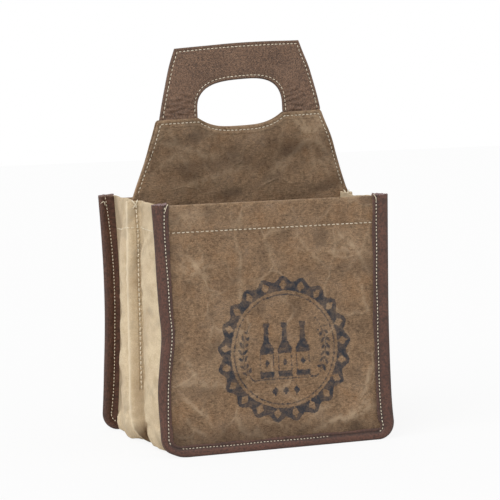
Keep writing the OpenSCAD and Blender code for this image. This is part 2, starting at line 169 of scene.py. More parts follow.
print("a soft wave at three places", ripples(np.array([0.0, 10, 20]), 0, 26, 5).round(2))

# %% [markdown]
# Where cloth or leather is cut, its edge shows, and its inside can have another colour. So
# a sheet has up to three finishes: outside, inside and edge. It could be extruded, but its
# faces would then have to be found again. Here they are numbered as they are made, and
# each point also keeps its place on the flat cut, because a weave follows that.
# %% Meshes from grids
def quads(rows, columns):
    """Corner numbers of the faces of a grid: a point, the one below, and their neighbours."""
    a = np.arange(rows - 1)[:, None] * columns + np.arange(columns - 1)
    return np.stack([a, a + columns, a + columns + 1, a + 1], -1).reshape(-1, 4)


def normals_of(grid):
    """Unit normals of a grid of points: the cross product of its two directions."""
    return unit(np.cross(np.gradient(grid, axis=0), np.gradient(grid, axis=1)))


def shell(outer, inner):
    """Closed sheet between two grids: both faces and a strip round their edge. Gives its
    points, its faces, and 0, 1 or 2 for each face: outside, inside or edge."""
    rows, columns = outer.shape[:2]
    count = rows * columns
    index = np.arange(count).reshape(rows, columns)
    edge = np.concatenate([index[0, :-1], index[:-1, -1], index[-1, :0:-1], index[:0:-1, 0]])
    after = np.roll(edge, -1)
    out = quads(rows, columns)
    rim = np.stack([edge, after, after + count, edge + count], -1)
    faces = np.concatenate([out, out[:, ::-1] + count, rim])
    if (normals_of(outer) * (outer - inner)).sum() < 0:
        faces = faces[:, ::-1]
    points = np.concatenate([outer.reshape(-1, 3), inner.reshape(-1, 3)])
    return points, faces, np.repeat([0, 1, 2], [len(out), len(out), len(rim)])


SHARP_ANGLE = math.radians(50)


def new_piece(name, points, faces, finishes, cloth, finish_of=None, fields=None):
    """Makes an object of points in millimetres. Cloth gives each point its place on the
    flat cut, for the UV map, finish_of gives each face the number of its finish, and
    fields give each point named numbers that a material reads."""
    mesh = bpy.data.meshes.new(name)
    mesh.from_pydata((points * MM).tolist(), [], np.asarray(faces).tolist())
    mesh.shade_smooth()
    mesh.set_sharp_from_angle(angle=SHARP_ANGLE)
    for finish in finishes:
        mesh.materials.append(finish)
    if finish_of is not None:
        mesh.polygons.foreach_set("material_index", finish_of)
    corner = np.empty(len(mesh.loops), int)
    mesh.loops.foreach_get("vertex_index", corner)
    layer = mesh.uv_layers.new(name="cloth")
    layer.data.foreach_set("uv", (cloth[corner] * MM).ravel())
    for key, value in (fields or {}).items():
        mesh.attributes.new(key, "FLOAT", "POINT").data.foreach_set("value", value)
    mesh.update()
    piece = bpy.data.objects.new(name, mesh)
    bpy.context.scene.collection.objects.link(piece)
    low, high = points.min(0), points.max(0)
    print(f"{name}: {len(faces)} faces, from {low.round(1)} to {high.round(1)} mm")
    return piece


def new_shell(name, outer, inner, finishes, cloth, fields=None):
    """A closed sheet as an object. Its two sides share their places on the flat cut and
    their fields, which keep to the outside of the edge."""
    points, faces, side = shell(outer, inner)
    last = len(finishes) - 1
    both = {k: np.tile(v.ravel(), 2) for k, v in (fields or {}).items()}
    return new_piece(name, points, faces, finishes, np.tile(cloth.reshape(-1, 2), (2, 1)),
                     np.minimum(side, last), both)


print("a grid of 3 by 4 points has", len(quads(3, 4)), "faces")

# %% [markdown]
# ## Finishes
# The bag has five: waxed cotton canvas, plain heavy canvas, smooth leather for the
# bindings, grained leather for the handle, and cotton thread. Pictures of cloth could be
# wrapped round the pieces, but they blur close up and repeat. Each finish is a principled
# shader instead, whose colour and bump come from noise and waves. They read the piece's
# own UV map, which is laid out in metres on the flat cut, so a weave bends with its cloth.
# %% Colours and nodes
def linear(text):
    """Linear colour of an sRGB hex value: the low part is a straight line, the rest a
    power of 2.4."""
    share = np.array([int(text[i:i + 2], 16) for i in (1, 3, 5)]) / 255
    return (*np.where(share <= 0.04045, share / 12.92, ((share + 0.055) / 1.055) ** 2.4), 1)


def feed(node, inputs):
    """Fills a node's inputs, by a link where the value is another node's output."""
    for key, value in inputs.items():
        if isinstance(value, bpy.types.NodeSocket):
            node.id_data.links.new(value, node.inputs[key])
        else:
            node.inputs[key].default_value = value


def adder(tree):
    """The function that adds a node with its settings and links to a tree, and gives the
    node's first live output."""
    def add(kind, inputs=None, **settings):
        node = tree.nodes.new("ShaderNode" + kind)
        for key, value in settings.items():
            setattr(node, key, value)
        feed(node, inputs or {})
        return next((s for s in node.outputs if s.enabled), None)

    return add


def start_finish(name, *fields):
    """A new material: itself, the function that adds a node to it, its shader, the place
    on the flat cut in millimetres, and the numbers of the fields it reads."""
    made = bpy.data.materials.new(name)
    made.use_nodes = True
    add = adder(made.node_tree)
    spot = add("VectorMath", {0: add("UVMap", uv_map="cloth"), "Scale": 1 / MM},
               operation="SCALE")
    read = [add("Attribute", attribute_name=field).node.outputs["Fac"] for field in fields]
    return made, add, made.node_tree.nodes["Principled BSDF"], spot, *read


def blotches(add, spot, size, low, high, detail=3.0, rough=0.6):
    """Noise about size millimetres large, stretched so that low becomes 0 and high 1."""
    cloud = add("TexNoise", {"Vector": spot, "Scale": 1 / size, "Detail": detail,
                             "Roughness": rough})
    return add("MapRange", {"Value": cloud, "From Min": low, "From Max": high})


def weave(add, spot, pitch):
    """Height of a plain weave, from 0 to 1: the sine of the place across the warp times
    that across the weft, with threads pitch millimetres apart."""
    turns = add("VectorMath", {0: spot, "Scale": 2 * math.pi / pitch}, operation="SCALE")
    part = add("SeparateXYZ", {0: turns}).node.outputs
    warp, weft = (add("Math", {0: part[axis]}, operation="SINE") for axis in "XY")
    both = add("Math", {0: warp, 1: weft}, operation="MULTIPLY")
    return add("Math", {0: both, 1: 0.5, 2: 0.5}, operation="MULTIPLY_ADD")


def layered(add, base, layers):
    """Colour in coats: each coat is the socket that says where it lies, the most that
    covers there, and its hex colour."""
    for place, most, text in layers:
        share = add("Math", {0: place, 1: most}, operation="MULTIPLY")
        base = add("Mix", {0: share, 6: base, 7: linear(text)}, data_type="RGBA")
    return base


print("the canvas's brown as linear light", np.round(linear("#5e432e")[:3], 3))

# %% [markdown]
# Waxed cotton canvas is woven thick, dyed, and rubbed with wax and oil. Wherever it is
# bent, the wax breaks and leaves a pale line, and wherever it is handled it darkens. So
# its colour is built in coats: broad clouds, small blotches, threads, pale creases, and a
# dark coat that is dirt and also painted shade. The pale coat paints highlights on soft
# folds as well. One noise of many scales would be shorter, but each coat has a colour and
# a size of its own.
# The weave is drawn 1.1 mm wide, about a pixel, because the real 0.7 mm wouldn't show.
# %% Waxed cotton canvas
WAXED_PITCH, SLUB_STRETCH, CRACK_NET, CRACK_BEND = 1.1, 2.5, 34, 30
# Each cloud of wax: size, low, high, detail, roughness, the most it covers, and colour.
WAX_CLOUDS = [
    (60, 0.42, 0.58, 4, 0.65, 1, "#865f3c"), (34, 0.47, 0.6, 5, 0.65, 0.85, "#8c7663"),
    (24, 0.47, 0.6, 5, 0.65, 0.75, "#3f2c1e"), (13, 0.5, 0.62, 5, 0.7, 0.7, "#987a5d"),
    (7, 0.5, 0.62, 5, 0.7, 0.65, "#3f2c1e"), (3.4, 0.45, 0.6, 4, 0.7, 0.6, "#b08e6c")]


def waxed_canvas(name, of_panel):
    """The brown cloth. On the panels the wax is more broken, and ink shows where the ink
    field is about 0 or more, less where it has worn off."""
    made, add, shader, spot, creased, soiled_and_shaded = start_finish(name, "crease", "soil")
    threads = weave(add, spot, WAXED_PITCH)
    grit = blotches(add, spot, 1.1, 0.4, 0.6, 3, 0.8)
    drawn = add("VectorMath", {0: spot, 1: (1 / SLUB_STRETCH, 1, 1)}, operation="MULTIPLY")
    slub = blotches(add, drawn, 1.2, 0.4, 0.6, 3, 0.7)
    broken = blotches(add, spot, 6, 0.36, 0.56, 4, 0.7)
    wander = add("TexNoise", {"Vector": spot, "Scale": 1 / CRACK_BEND}).node.outputs["Color"]
    wander = add("VectorMath", {0: wander, "Scale": CRACK_BEND}, operation="SCALE")
    bent = add("VectorMath", {0: spot, 1: wander}, operation="ADD")
    far = add("TexVoronoi", {"Vector": bent, "Scale": 1 / CRACK_NET}, feature="DISTANCE_TO_EDGE")
    net = add("MapRange", {"Value": far, "From Min": 0.06, "From Max": 0})
    cracked = add("Math", {0: net, 1: blotches(add, spot, 40, 0.45, 0.6)}, operation="MULTIPLY")
    pale = add("Math", {0: creased, 1: broken}, operation="MULTIPLY")
    coats = [(blotches(add, spot, *cloud), most, text) for *cloud, most, text in WAX_CLOUDS]
    coats += [(grit, 0.72, "#2a1d14"), (slub, 0.4, "#b09170"), (threads, 0.25, "#b09170"),
              (cracked, 0.4 if of_panel else 0.15, "#b79f82"),
              # The pale coat is broken wax and painted highlight; the last coat is dirt and
              # painted shade.
              (pale, 0.75 if of_panel else 0.5, "#bda486"), (soiled_and_shaded, 1, "#35271e")]
    if of_panel:
        ink = add("Attribute", attribute_name="ink").node.outputs["Fac"]
        worn = blotches(add, spot, 2.6, 0.3, 0.7, 4, 0.75)
        edge = add("Math", {0: worn, 1: -1.5, 2: ink}, operation="MULTIPLY_ADD")
        solid = add("MapRange", {"Value": edge, "From Min": -0.8, "From Max": -0.2})
        faded = add("MapRange", {"Value": blotches(add, spot, 7, 0.36, 0.6, 4, 0.75),
                                 "To Min": 0.5, "To Max": 0.93})
        coats.append((add("Math", {0: solid, 1: faded}, operation="MULTIPLY"), 1, "#222a35"))
    height = add("Math", {0: grit, 1: 0.6, 2: threads}, operation="MULTIPLY_ADD")
    height = add("Math", {0: cracked, 1: 2.5, 2: height}, operation="MULTIPLY_ADD")
    feed(shader, {
        "Base Color": layered(add, linear("#5e432e"), coats),
        "Roughness": add("MapRange", {"Value": grit, "To Min": 0.62, "To Max": 0.82}),
        "Specular IOR Level": 0.3,
        "Normal": add("Bump", {"Height": height, "Strength": 0.6, "Distance": 0.5 * MM})})
    return made


handle_canvas = waxed_canvas("waxed_cotton_canvas", False)
panel_canvas = waxed_canvas("waxed_cotton_canvas_worn", True)
print("finishes", handle_canvas.name, panel_canvas.name)

# %% [markdown]
# The gusset is the same kind of canvas, undyed and unwaxed: pale, matt, and marked by
# a few grey smudges from the wax of its neighbours. Its dark coat also paints shade in
# its deep folds, and its pale fold coat is partly a painted highlight. The seam of the
# tuck presses a dent beside the fold, painted darker as shade. It is drawn where the
# cloth's own width says, so that it stays straight on the cloth however the tuck is bent.
# %% Plain heavy canvas
PLAIN_PITCH, TUCK_SEAM = 1.0, 10.3

gusset_canvas, add, shader, spot, soiled_and_shaded, fold, sewn = start_finish(
    "heavy_cotton_canvas", "soil", "crease", "sewn")
threads = weave(add, spot, PLAIN_PITCH)
off = add("Math", {0: add("SeparateXYZ", {0: spot}).node.outputs["Y"]}, operation="ABSOLUTE")
off = add("Math", {0: off, 1: TUCK_SEAM}, operation="SUBTRACT")
off = add("Math", {0: off}, operation="ABSOLUTE")
dent = add("MapRange", {"Value": off, "From Min": 1.1, "From Max": 0.3})
dent = add("Math", {0: dent, 1: sewn}, operation="MULTIPLY")
feed(shader, {
    "Base Color": layered(add, linear("#cab598"), [
        (blotches(add, spot, 40, 0.4, 0.6), 1, "#dfccad"),
        (blotches(add, spot, 24, 0.54, 0.66), 0.5, "#9a8d7b"),
        (blotches(add, spot, 9, 0.5, 0.66), 0.45, "#b49c79"),
        (blotches(add, spot, 1.3, 0.36, 0.64, 2, 0.7), 0.4, "#a9906d"),
        (threads, 0.3, "#efdfbf"),
        # The fold coat is wear and painted highlight, the dent coat painted shade, and the last
        # coat dirt and painted shade.
        (fold, 0.8, "#eadcc2"), (dent, 0.4, "#84694a"),
        (soiled_and_shaded, 1, "#66503a")]),
    "Roughness": 0.85, "Specular IOR Level": 0.2,
    "Normal": add("Bump", {"Height": add("Math", {0: threads, 1: dent}, operation="SUBTRACT"),
                           "Strength": 0.5, "Distance": 0.4 * MM})})
print("finish", gusset_canvas.name)

# %% [markdown]
# Both leathers are cowhide, dyed through and oiled, so they are dark and softly shiny.
# The bindings are smooth and redder. The handle is grained: its hide is covered with
# small pebbles about 1.3 mm wide with fine creases between. Noise alone would look like
# sand, so the pebbles are the cells of a Voronoi pattern, and noise only pits them.
# Cut edges and the flesh side are rough and greyish: on the bindings they are paler than
# the face, and on the handle a little darker.
# %% Leathers
def leather(name, dark, middle, bright, pebble, depth, rough):
    """Leather of three colours, dark in the pits and bright on what is rubbed, with
    pebbles of a width and a depth in millimetres. The bright coat of the worn field is
    also a painted highlight on the bindings' roll, and the dark coat at the end is dirt
    and painted shade."""
    made, add, shader, spot, worn, soiled_and_shaded = start_finish(name, "worn", "soil")
    cells = add("TexVoronoi", {"Vector": spot, "Scale": 1 / pebble}, feature="SMOOTH_F1")
    fine = blotches(add, spot, 0.8 * pebble, 0.38, 0.62, 3, 0.8)
    pits = add("Math", {0: fine, 1: 0.6}, operation="MULTIPLY")
    height = add("Math", {0: pits, 1: cells}, operation="SUBTRACT")
    deep = add("MapRange", {"Value": height, "From Min": 0.1, "From Max": -0.5})
    feed(shader, {
        "Base Color": layered(add, linear(dark), [
            (blotches(add, spot, 34, 0.41, 0.59), 1, middle),
            (blotches(add, spot, 1.3 * pebble, 0.42, 0.66, 4, 0.8), 0.25 + 0.45 * depth, bright),
            (worn, 0.5, bright), (deep, 0.7, "#281b15"), (soiled_and_shaded, 1, "#241a17")]),
        "Roughness": add("MapRange", {"Value": fine, "To Min": rough, "To Max": rough + 0.15}),
        "Specular IOR Level": 0.45,
        "Normal": add("Bump", {"Height": height, "Strength": 0.5, "Distance": depth * MM})})
    return made


def raw_leather(name, dark, bright):
    """The fibrous flesh side or cut edge of a leather: fine noise between two colours."""
    made, add, shader, spot = start_finish(name)
    fibres = blotches(add, spot, 1.2, 0.3, 0.7, 4, 0.7)
    feed(shader, {"Base Color": layered(add, linear(dark), [(fibres, 1, bright)]),
                  "Roughness": 0.9})
    return made


binding_leather = leather("smooth_cowhide", "#4a2f25", "#5a3c2f", "#734a3c",
                          pebble=2.0, depth=0.25, rough=0.42)
grip_leather = leather("grained_cowhide", "#674c3a", "#785a45", "#a28168",
                       pebble=1.3, depth=0.9, rough=0.5)
binding_flesh = raw_leather("cowhide_flesh_side", "#806866", "#b8a09f")
binding_edge = raw_leather("cowhide_cut_edge", "#6c5755", "#a48e8c")
grip_edge = raw_leather("grained_cowhide_cut_edge", "#4c403f", "#756663")
print("finishes", binding_leather.name, grip_leather.name)

# %% [markdown]
# The thread is cream cotton, thick enough to see: three strands twisted together. They
# could be three thin tubes, but at a pixel across they would only flicker. The slanted
# bands of a wave pattern draw them across each stitch, one every 1.05 mm.
# %% Thread
STRAND_BANDS = 0.6
thread, add, shader, spot = start_finish("cream_cotton_thread")
strands = add("TexWave", {"Vector": spot, "Scale": STRAND_BANDS, "Distortion": 0.5},
              bands_direction="DIAGONAL")
feed(shader, {
    "Base Color": layered(add, linear("#d3c6ad"), [
        (blotches(add, spot, 9, 0.35, 0.65, 2), 1, "#eae0cb"), (strands, 0.25, "#a8977c")]),
    "Roughness": 0.75,
    "Normal": add("Bump", {"Height": strands, "Strength": 0.4, "Distance": 0.1 * MM})})
print("finish", thread.name)

# %% [markdown]
# ## Panels
# The front and back are the same flat cut, 217 mm wide with round lower corners. It is
# 23 mm longer than the bag is high, because its top is turned to the inside and sewn.
# Each leans inward, so its cloth is drawn upright and then laid back by the lean. A cloth
# simulation could let it sag, but it would crease where it likes, and this bag's creases
# have their places.
# %% Places on the front and back
TABLE_GAP = 0.05
SLUMP_Z = [0, 25, 61, 83, 106, 128, 150, 185, RIM_H]
# The pull at those heights on each corner: left or right, front or back.
SLUMP = {(-1, -1): [1.8, 0.6, -0.2, 2.2, 4.4, 3.0, 2.0, 1.0, -0.6],
         (1, -1): [2.8, 0.2, -1.0, -1.2, -1.2, -0.9, -0.4, 0.4, 1.2],
         (-1, 1): [-1.2, 0.4, 1.8, 2.6, 3.0, 2.8, 2.2, 0.3, -2.0],
         (1, 1): [0.5, 0, -1.5, -1.8, -2.0, -1.8, -1.5, 0, 0.5]}


def slump(points):
    """The soft bag has sunk a little: its corners lean in at half height, and three of
    them stand out at the table. x moves by the sum, over the four corners, of a sideways
    pull that follows a smooth line of z and fades towards the other corners."""
    x, y, z = np.moveaxis(points, -1, 0)
    shift = 0
    for (right, back), pull in SLUMP.items():
        amount = smooth_line(pull, SLUMP_Z, np.clip(z, 0, RIM_H).ravel()).reshape(z.shape)
        shift = shift + amount * fade(right * x, 10, 105) * fade(back * y, 5, 65)
    return points_of(x + shift, y, z)


def leaned(x, s, d):
    """Point at x across, s up the slope and d inward from the face, on the front before
    it slumps: (x, d cos L + s sin L - base / 2, s cos L - d sin L), kept just above the
    table."""
    y = d * math.cos(LEAN) + s * math.sin(LEAN) - BASE_D / 2
    z = s * math.cos(LEAN) - d * math.sin(LEAN)
    return points_of(x, y, np.maximum(z, TABLE_GAP))


def on_front(x, s, d):
    """Place on the front side, with its left corner 2 mm rounder: s grows by
    2 exp(-((x + 101) / 8)^2 - s / 12)."""
    return slump(leaned(x, s + 2 * np.exp(-((x + 101) / 8)**2 - np.maximum(s, 0) / 12), d))


def on_back(x, s, d):
    """The same place on the back side: half a turn about Z, (x, y, z) to (-x, -y, z). The
    back's rim hangs 2.6 mm lower between its bindings."""
    s = s - 2.6 * fade(abs(x), 96, 87) * fade(s, 150, PANEL_H)
    return slump(leaned(x, s, d) * [-1, -1, 1])


def steps(*stops):
    """Places from the first stop to the last, given as place, step, place, step, place."""
    parts = [np.linspace(a, b, max(2, round(abs(b - a) / step) + 1))[:-1]
             for a, step, b in zip(stops[:-2:2], stops[1:-1:2], stops[2::2])]
    return np.concatenate([*parts, stops[-1:]])


print("a corner of the rim", on_front(PANEL_W / 2, PANEL_H, 0).round(1))

# %% [markdown]
# The print in worn ink is a crown cap seen from above, with diamonds knocked out of its
# crimped band, and inside it three bottles, two ears of barley and three diamonds. It
# could be a picture on the cloth, but a distance to the nearest ink edge, in millimetres,
# stays sharp, and adding noise to it rubs the ink away at its edges first.
# %% The emblem
# Its middle; the band's radii and the number of its crimps; the ring of the ears and the
# grains that a whole ring would have; and half a bottle's height.
EMBLEM_X, EMBLEM_S = 7.5, 87.0
BAND_IN, BAND_OUT, FLUTES = 51, 62, 21
GRAIN_R, GRAINS, BOTTLE_HALF = 39.5, 40, 24


def box(x, y, w, h):
    """Distance inside a box of half width w and half height h: the nearer of its sides."""
    return np.minimum(w - abs(x), h - abs(y))


def diamond(x, y, w, h):
    """Distance inside the diamond |x| / w + |y| / h = 1, about right near its edge."""
    return (1 - abs(x) / w - abs(y) / h) * w * h / math.hypot(w, h)


def round_the_ring(r, a, count, radius):
    """Places on a ring in count equal sectors: along the sector from its middle, and
    outward from the ring's radius, both in millimetres."""
    sector = 2 * math.pi / count
    return (a - sector * np.round(a / sector)) * radius, r - radius


def bottle(x, y):
    """Distance inside a bottle 48 high: a body, a shoulder, a neck and a cap, with a label
    knocked out and a diamond put in it."""
    half = np.interp(y, [-24, 1, 8, 18, 19.5, 20, 24], [6.8, 6.8, 2.9, 2.3, 2.3, 3.4, 3.1])
    whole = np.minimum(half - abs(x), BOTTLE_HALF - abs(y))
    blank = box(x, y + 11, 5.4, 7.5)
    return np.maximum(np.minimum(whole, -blank), diamond(x, y + 11, 2.6, 4.2))


def emblem(x, s):
    """Distance to the edge of the ink at each place of the panel, positive inside it: the
    greatest of the distances inside each shape, cut to between -3 and 3."""
    x, y = x - EMBLEM_X, s - EMBLEM_S
    r, a = np.hypot(x, y), np.arctan2(x, y)
    band = np.minimum(BAND_OUT + 2.4 * np.cos(FLUTES * a) - r, r - BAND_IN)
    holes = diamond(*round_the_ring(r, a, FLUTES, (BAND_IN + BAND_OUT) / 2), 3.2, 4.4)
    along, out = round_the_ring(r, a, GRAINS, GRAIN_R)
    p = along * math.cos(0.6) + (abs(out) - 2.6) * math.sin(0.6)
    q = (abs(out) - 2.6) * math.cos(0.6) - along * math.sin(0.6)
    grain = (1 - np.hypot(p / 3.3, q / 1.5)) * 1.5
    stem = 0.6 - abs(out)
    sideways = abs(abs(a) - math.radians(92))
    ear = np.minimum(grain, (math.radians(28) - sideways) * 39)
    stalk = np.minimum(stem, (math.radians(44) - sideways) * 39)
    shapes = [np.minimum(band, -holes), 0.8 - abs(r - 48), ear, stalk,
              box(x, y + 25.5, 30, 0.8), box(x, y + 28.5, 24, 0.5)]
    shapes += [bottle(x - at, y) for at in (-17, 0, 17)]
    shapes += [diamond(x - at, y + 36, 3.4, 4.6) for at in (-10, 0, 10)]
    return np.clip(np.maximum.reduce(shapes), -3, 3)


print("ink on the ring", emblem(np.array(EMBLEM_X), np.array(EMBLEM_S + 48.0)))

# %% [markdown]
# Soft waves and a set of listed creases give the cloth its used look. They could be
# sculpted, but a table of lines can be moved and changed one by one. A crease is a low
# ridge that tapers to its ends, and its top is where the wax has gone pale.
# %% Creases
def crease(x, s, table):
    """Lift in millimetres and paleness from 0 to 1. A crease is x0, s0, x1, s1, width and
    height: it lifts height exp(-(distance / width)^2), less towards its ends."""
    lift, pale = np.zeros(x.shape), np.zeros(x.shape)
    wander = 1.6 * ripples(x, s, 26, 5)
    for x0, s0, x1, s1, width, height in table:
        far = math.hypot(x1 - x0, s1 - s0)
        t = ((x - x0) * (x1 - x0) + (s - s0) * (s1 - s0)) / far**2
        off = ((x - x0) * (s1 - s0) - (s - s0) * (x1 - x0)) / far + wander
        taper = np.sqrt(np.clip(4 * t * (1 - t), 0, 1))
        lift += height * taper * bump(off, 0, width)
        line = taper * bump(off, 0, 0.3 * width + 0.5) * min(1, 1.1 * abs(height))
        pale = np.maximum(pale, line)
    return lift, pale


def soft_patches(x, s, table):
    """Sum of share * exp(-(across / wide)^2 - (up / high)^2) round each patch's centre."""
    return sum(share * np.exp(-((x - x0) / wide)**2 - ((s - s0) / high)**2)
               for x0, s0, wide, high, share in table)


# Patches of the front: across, up, width, height and share. The pale ones are partly painted
# highlight on soft folds, the dark ones partly painted shade below them.
FRONT_PALE = [(-78, 206, 24, 9, 0.5), (-78, 162, 15, 9, 0.3), (64, 180, 22, 11, 0.3),
              (-66, 74, 22, 9, 0.25), (70, 22, 22, 8, 0.3), (-48, 98, 14, 20, 0.3)]
FRONT_DARK = [(86, 157, 16, 8, 0.3), (-96, 180, 10, 8, 0.25), (-70, 56, 22, 6, 0.25),
              (-92, 20, 12, 14, 0.2), (-20, 18, 50, 9, 0.15), (20, 145, 40, 12, 0.12)]
FRONT_CREASES = [
    (-98, 66, -34, 58, 9, 0.6), (34, 172, 98, 168, 8, 0.5), (30, 14, 98, 34, 9, 0.8),
    (-88, 178, -60, 150, 5, 0.6), (-84, 150, -62, 172, 4, 0.35), (-92, 158, -44, 166, 4, 0.4),
    (-70, 188, -66, 140, 4, 0.5), (-36, 190, -30, 120, 6, 0.6), (-32, 130, -38, 70, 5, 0.4),
    (62, 188, 92, 150, 5, 0.7), (92, 186, 66, 148, 5, 0.6), (78, 150, 90, 110, 5, 0.6),
    (-94, 60, -60, 24, 6, 0.8), (-94, 36, -64, 14, 5, 0.6), (-90, 90, -70, 56, 6, 0.5),
    (94, 70, 74, 30, 6, 0.6), (92, 40, 60, 16, 5, 0.6), (20, 188, 44, 160, 5, 0.4),
    (-10, 186, 6, 158, 5, 0.4), (-20, 30, 10, 16, 6, 0.4), (40, 34, 20, 14, 6, 0.4)]
BACK_CREASES = [
    (-90, 180, -58, 146, 6, 0.8), (70, 184, 90, 140, 5, 0.7), (-60, 60, -90, 20, 6, 0.7),
    (88, 56, 58, 18, 6, 0.7), (-10, 170, 16, 60, 8, 0.5), (-94, 120, -70, 100, 5, 0.5),
    (30, 186, 52, 150, 5, 0.5), (60, 110, 94, 92, 6, 0.5),
    (96, 70, 30, 58, 9, 0.7), (-98, 168, -30, 176, 8, 0.6)]
BACK_PALE = [(60, 206, 30, 9, 0.6), (-66, 182, 24, 10, 0.5), (66, 72, 24, 10, 0.5),
             (-60, 34, 26, 10, 0.5), (10, 112, 22, 18, 0.35)]
BACK_DARK = [(-80, 160, 16, 9, 0.3), (70, 54, 24, 7, 0.25), (0, 22, 50, 10, 0.15),
             (-20, 150, 30, 10, 0.15)]
FRONT_MARKS = FRONT_CREASES, FRONT_PALE, FRONT_DARK
BACK_MARKS = BACK_CREASES, BACK_PALE, BACK_DARK
print(len(FRONT_CREASES), "creases in front and", len(BACK_CREASES), "behind")

# %% [markdown]
# The panel's cloth is followed along its middle: up the outside, round the fold at the
# rim, and down the inside to the hem's raw edge. A smaller sheet behind the first could
# stand for the hem, but light from above shows the round fold. Along its seam a hem has a
# shallow groove with small puckers. Where the bindings grip the cloth it is flat.
# %% Front and back panels
# How far the cloth's edge and face lie inside the bindings'; the radius of the rim's fold;
# the hem's seam above the raw edge, its stitches, and how much narrower it is each side.
FLAT_EDGE, FOLD_R, HEM_INSET, HEM_PITCH, HEM_NARROWER = 1.4, 0.65, 1.35, 4.4, 14.9
HEM_SEAM = PANEL_H - HEM_H + HEM_INSET
FOLD_S = PANEL_H - FOLD_R - PANEL_T / 2
FLAT_HALF, FLAT_R = PANEL_W / 2 - FLAT_EDGE, CORNER_R - FLAT_EDGE


def panel_shape(x, s, marks, seed):
    """How far the cloth stands outward, in millimetres, its paleness, and how dark it is:
    dirt, painted shade in patches below soft folds, and darker towards the bottom, the
    bindings and the hem's seam.
    """
    creases, worn, dark_patches = marks
    free = fade(abs(x), 95, 86) * fade(s, 10, 20)
    lift, pale = crease(x, s, creases)
    waves = ripples(x, s, 95, seed) + 0.3 * ripples(x, s, 34, seed + 1)
    seam = bump(s, HEM_SEAM, 1.5)
    pucker = 0.12 * np.sin(x * 2 * math.pi / HEM_PITCH) * np.exp(-(abs(s - HEM_SEAM) / 4))
    out = free * (0.8 * waves * fade(PANEL_H - s, -10, 30) + 1.7 * lift) - 0.4 * seam + pucker
    # Darker towards the bottom, towards the bindings, along the hem's seam and in random clouds.
    dirt_and_shade = 0.35 * fade(s, 34, 10) + 0.15 * fade(abs(x), 86, 97) + 0.2 * seam
    dirt_and_shade += 0.3 * fade(ripples(x, s, 38, seed + 2), 0.5, 1.6)
    # Pale patches are partly painted highlight on soft folds, and dark patches partly painted
    # shade below them.
    pale = pale + soft_patches(x, s, worn) + 0.9 * bump(s, PANEL_H, 0.9)
    return out, np.clip(pale, 0, 1), dirt_and_shade + soft_patches(x, s, dark_patches)


def panel(name, place, columns, rows, marks, seed, printed):
    """A panel from its columns (places across at full width) and rows (places up the
    slope): outside, fold and hem, thickened by half on each side. Gives the piece and its
    width and height on the flat."""
    angle = np.linspace(0, np.pi, 9)[1:]
    hem = np.arange(PANEL_H - 3, PANEL_H - HEM_H - 1, -2.0)
    s = np.concatenate([rows, FOLD_S + FOLD_R * np.sin(angle), hem])[:, None]
    turned = np.concatenate([0 * rows, angle, np.full(len(hem), np.pi)])[:, None]
    d = FLAT_EDGE + PANEL_T / 2 + FOLD_R * (1 - np.cos(turned))
    corner = np.sqrt(np.maximum(FLAT_R**2 - np.maximum(CORNER_R - s, 0)**2, 0)) - FLAT_R
    half = FLAT_HALF + corner - HEM_NARROWER * fade(turned, 0.3, 2.8)
    x = columns * half / FLAT_HALF
    out, pale, dirt_and_shade = panel_shape(x, s, marks, seed)
    sides = [place(x, s + np.sin(turned) * t, d - np.cos(turned) * t - out)
             for t in (PANEL_T / 2, -PANEL_T / 2)]
    run = length_along(points_of(s[:, 0], d[:, 0]))[:, None]
    cloth = points_of(x, run)
    inked = np.where(turned > 0, -3, emblem(x, s)) if printed else np.full(x.shape, -3.0)
    fields = {"crease": pale, "soil": dirt_and_shade * (turned < 1.6), "ink": inked}
    return new_shell(name, *sides, [panel_canvas], cloth, fields), 2 * FLAT_HALF, run[-1, 0]


front_panel, *front_cut = panel(
    "front_panel_canvas", on_front, steps(-FLAT_HALF, 1.8, -60, 1.05, 74, 1.8, FLAT_HALF),
    steps(FLAT_EDGE, 1.5, 18, 1.05, 156, 1.7, FOLD_S), FRONT_MARKS, 11, printed=True)
back_panel, *back_cut = panel(
    "back_panel_canvas", on_back, steps(-FLAT_HALF, 2.2, FLAT_HALF),
    steps(FLAT_EDGE, 2.2, FOLD_S), BACK_MARKS, 23, printed=False)

# %% [markdown]
# ## Bindings
# A strip of leather is folded over the edges of panel and gusset and sewn through all
# four layers. Pulled tight by the seam, it bulges between the seam and its fold, like a
# small roll. A curve with a bevel profile could draw it, but its width couldn't change on
# the way. Its section is a smooth line through a few points, and it is carried down one
# side, round a corner, along the foot and up again, each time with its own width.
# %% The line of a binding
BINDING_R = CORNER_R - 3


def binding_line(step):
    """Places on the outline of the front, the direction inward from each, and a share
    that is 0 at the sides and 1 along the foot: a straight line, an arc, and a mirror."""
    h, r, w = PANEL_H, BINDING_R, PANEL_W / 2
    bend = np.linspace(0, np.pi / 2, round(r * np.pi / 2 / step * 1.5) + 1)
    side = steps(0, step, h - r)[:-1]
    foot = steps(0, step, w - r)[1:]
    at = np.concatenate([points_of(0 * side - w, h - side),
                         points_of(r - w - r * np.cos(bend), r - r * np.sin(bend)),
                         points_of(r - w + foot, 0 * foot)])
    turned = np.concatenate([0 * side, bend, 0 * foot + np.pi / 2])
    way = points_of(np.cos(turned), np.sin(turned))
    share = fade(turned, 0, np.pi / 2)
    return [np.concatenate([half, half[-2::-1] * mirror])
            for half, mirror in ((at, [-1, 1]), (way, [-1, 1]), (share, 1))]


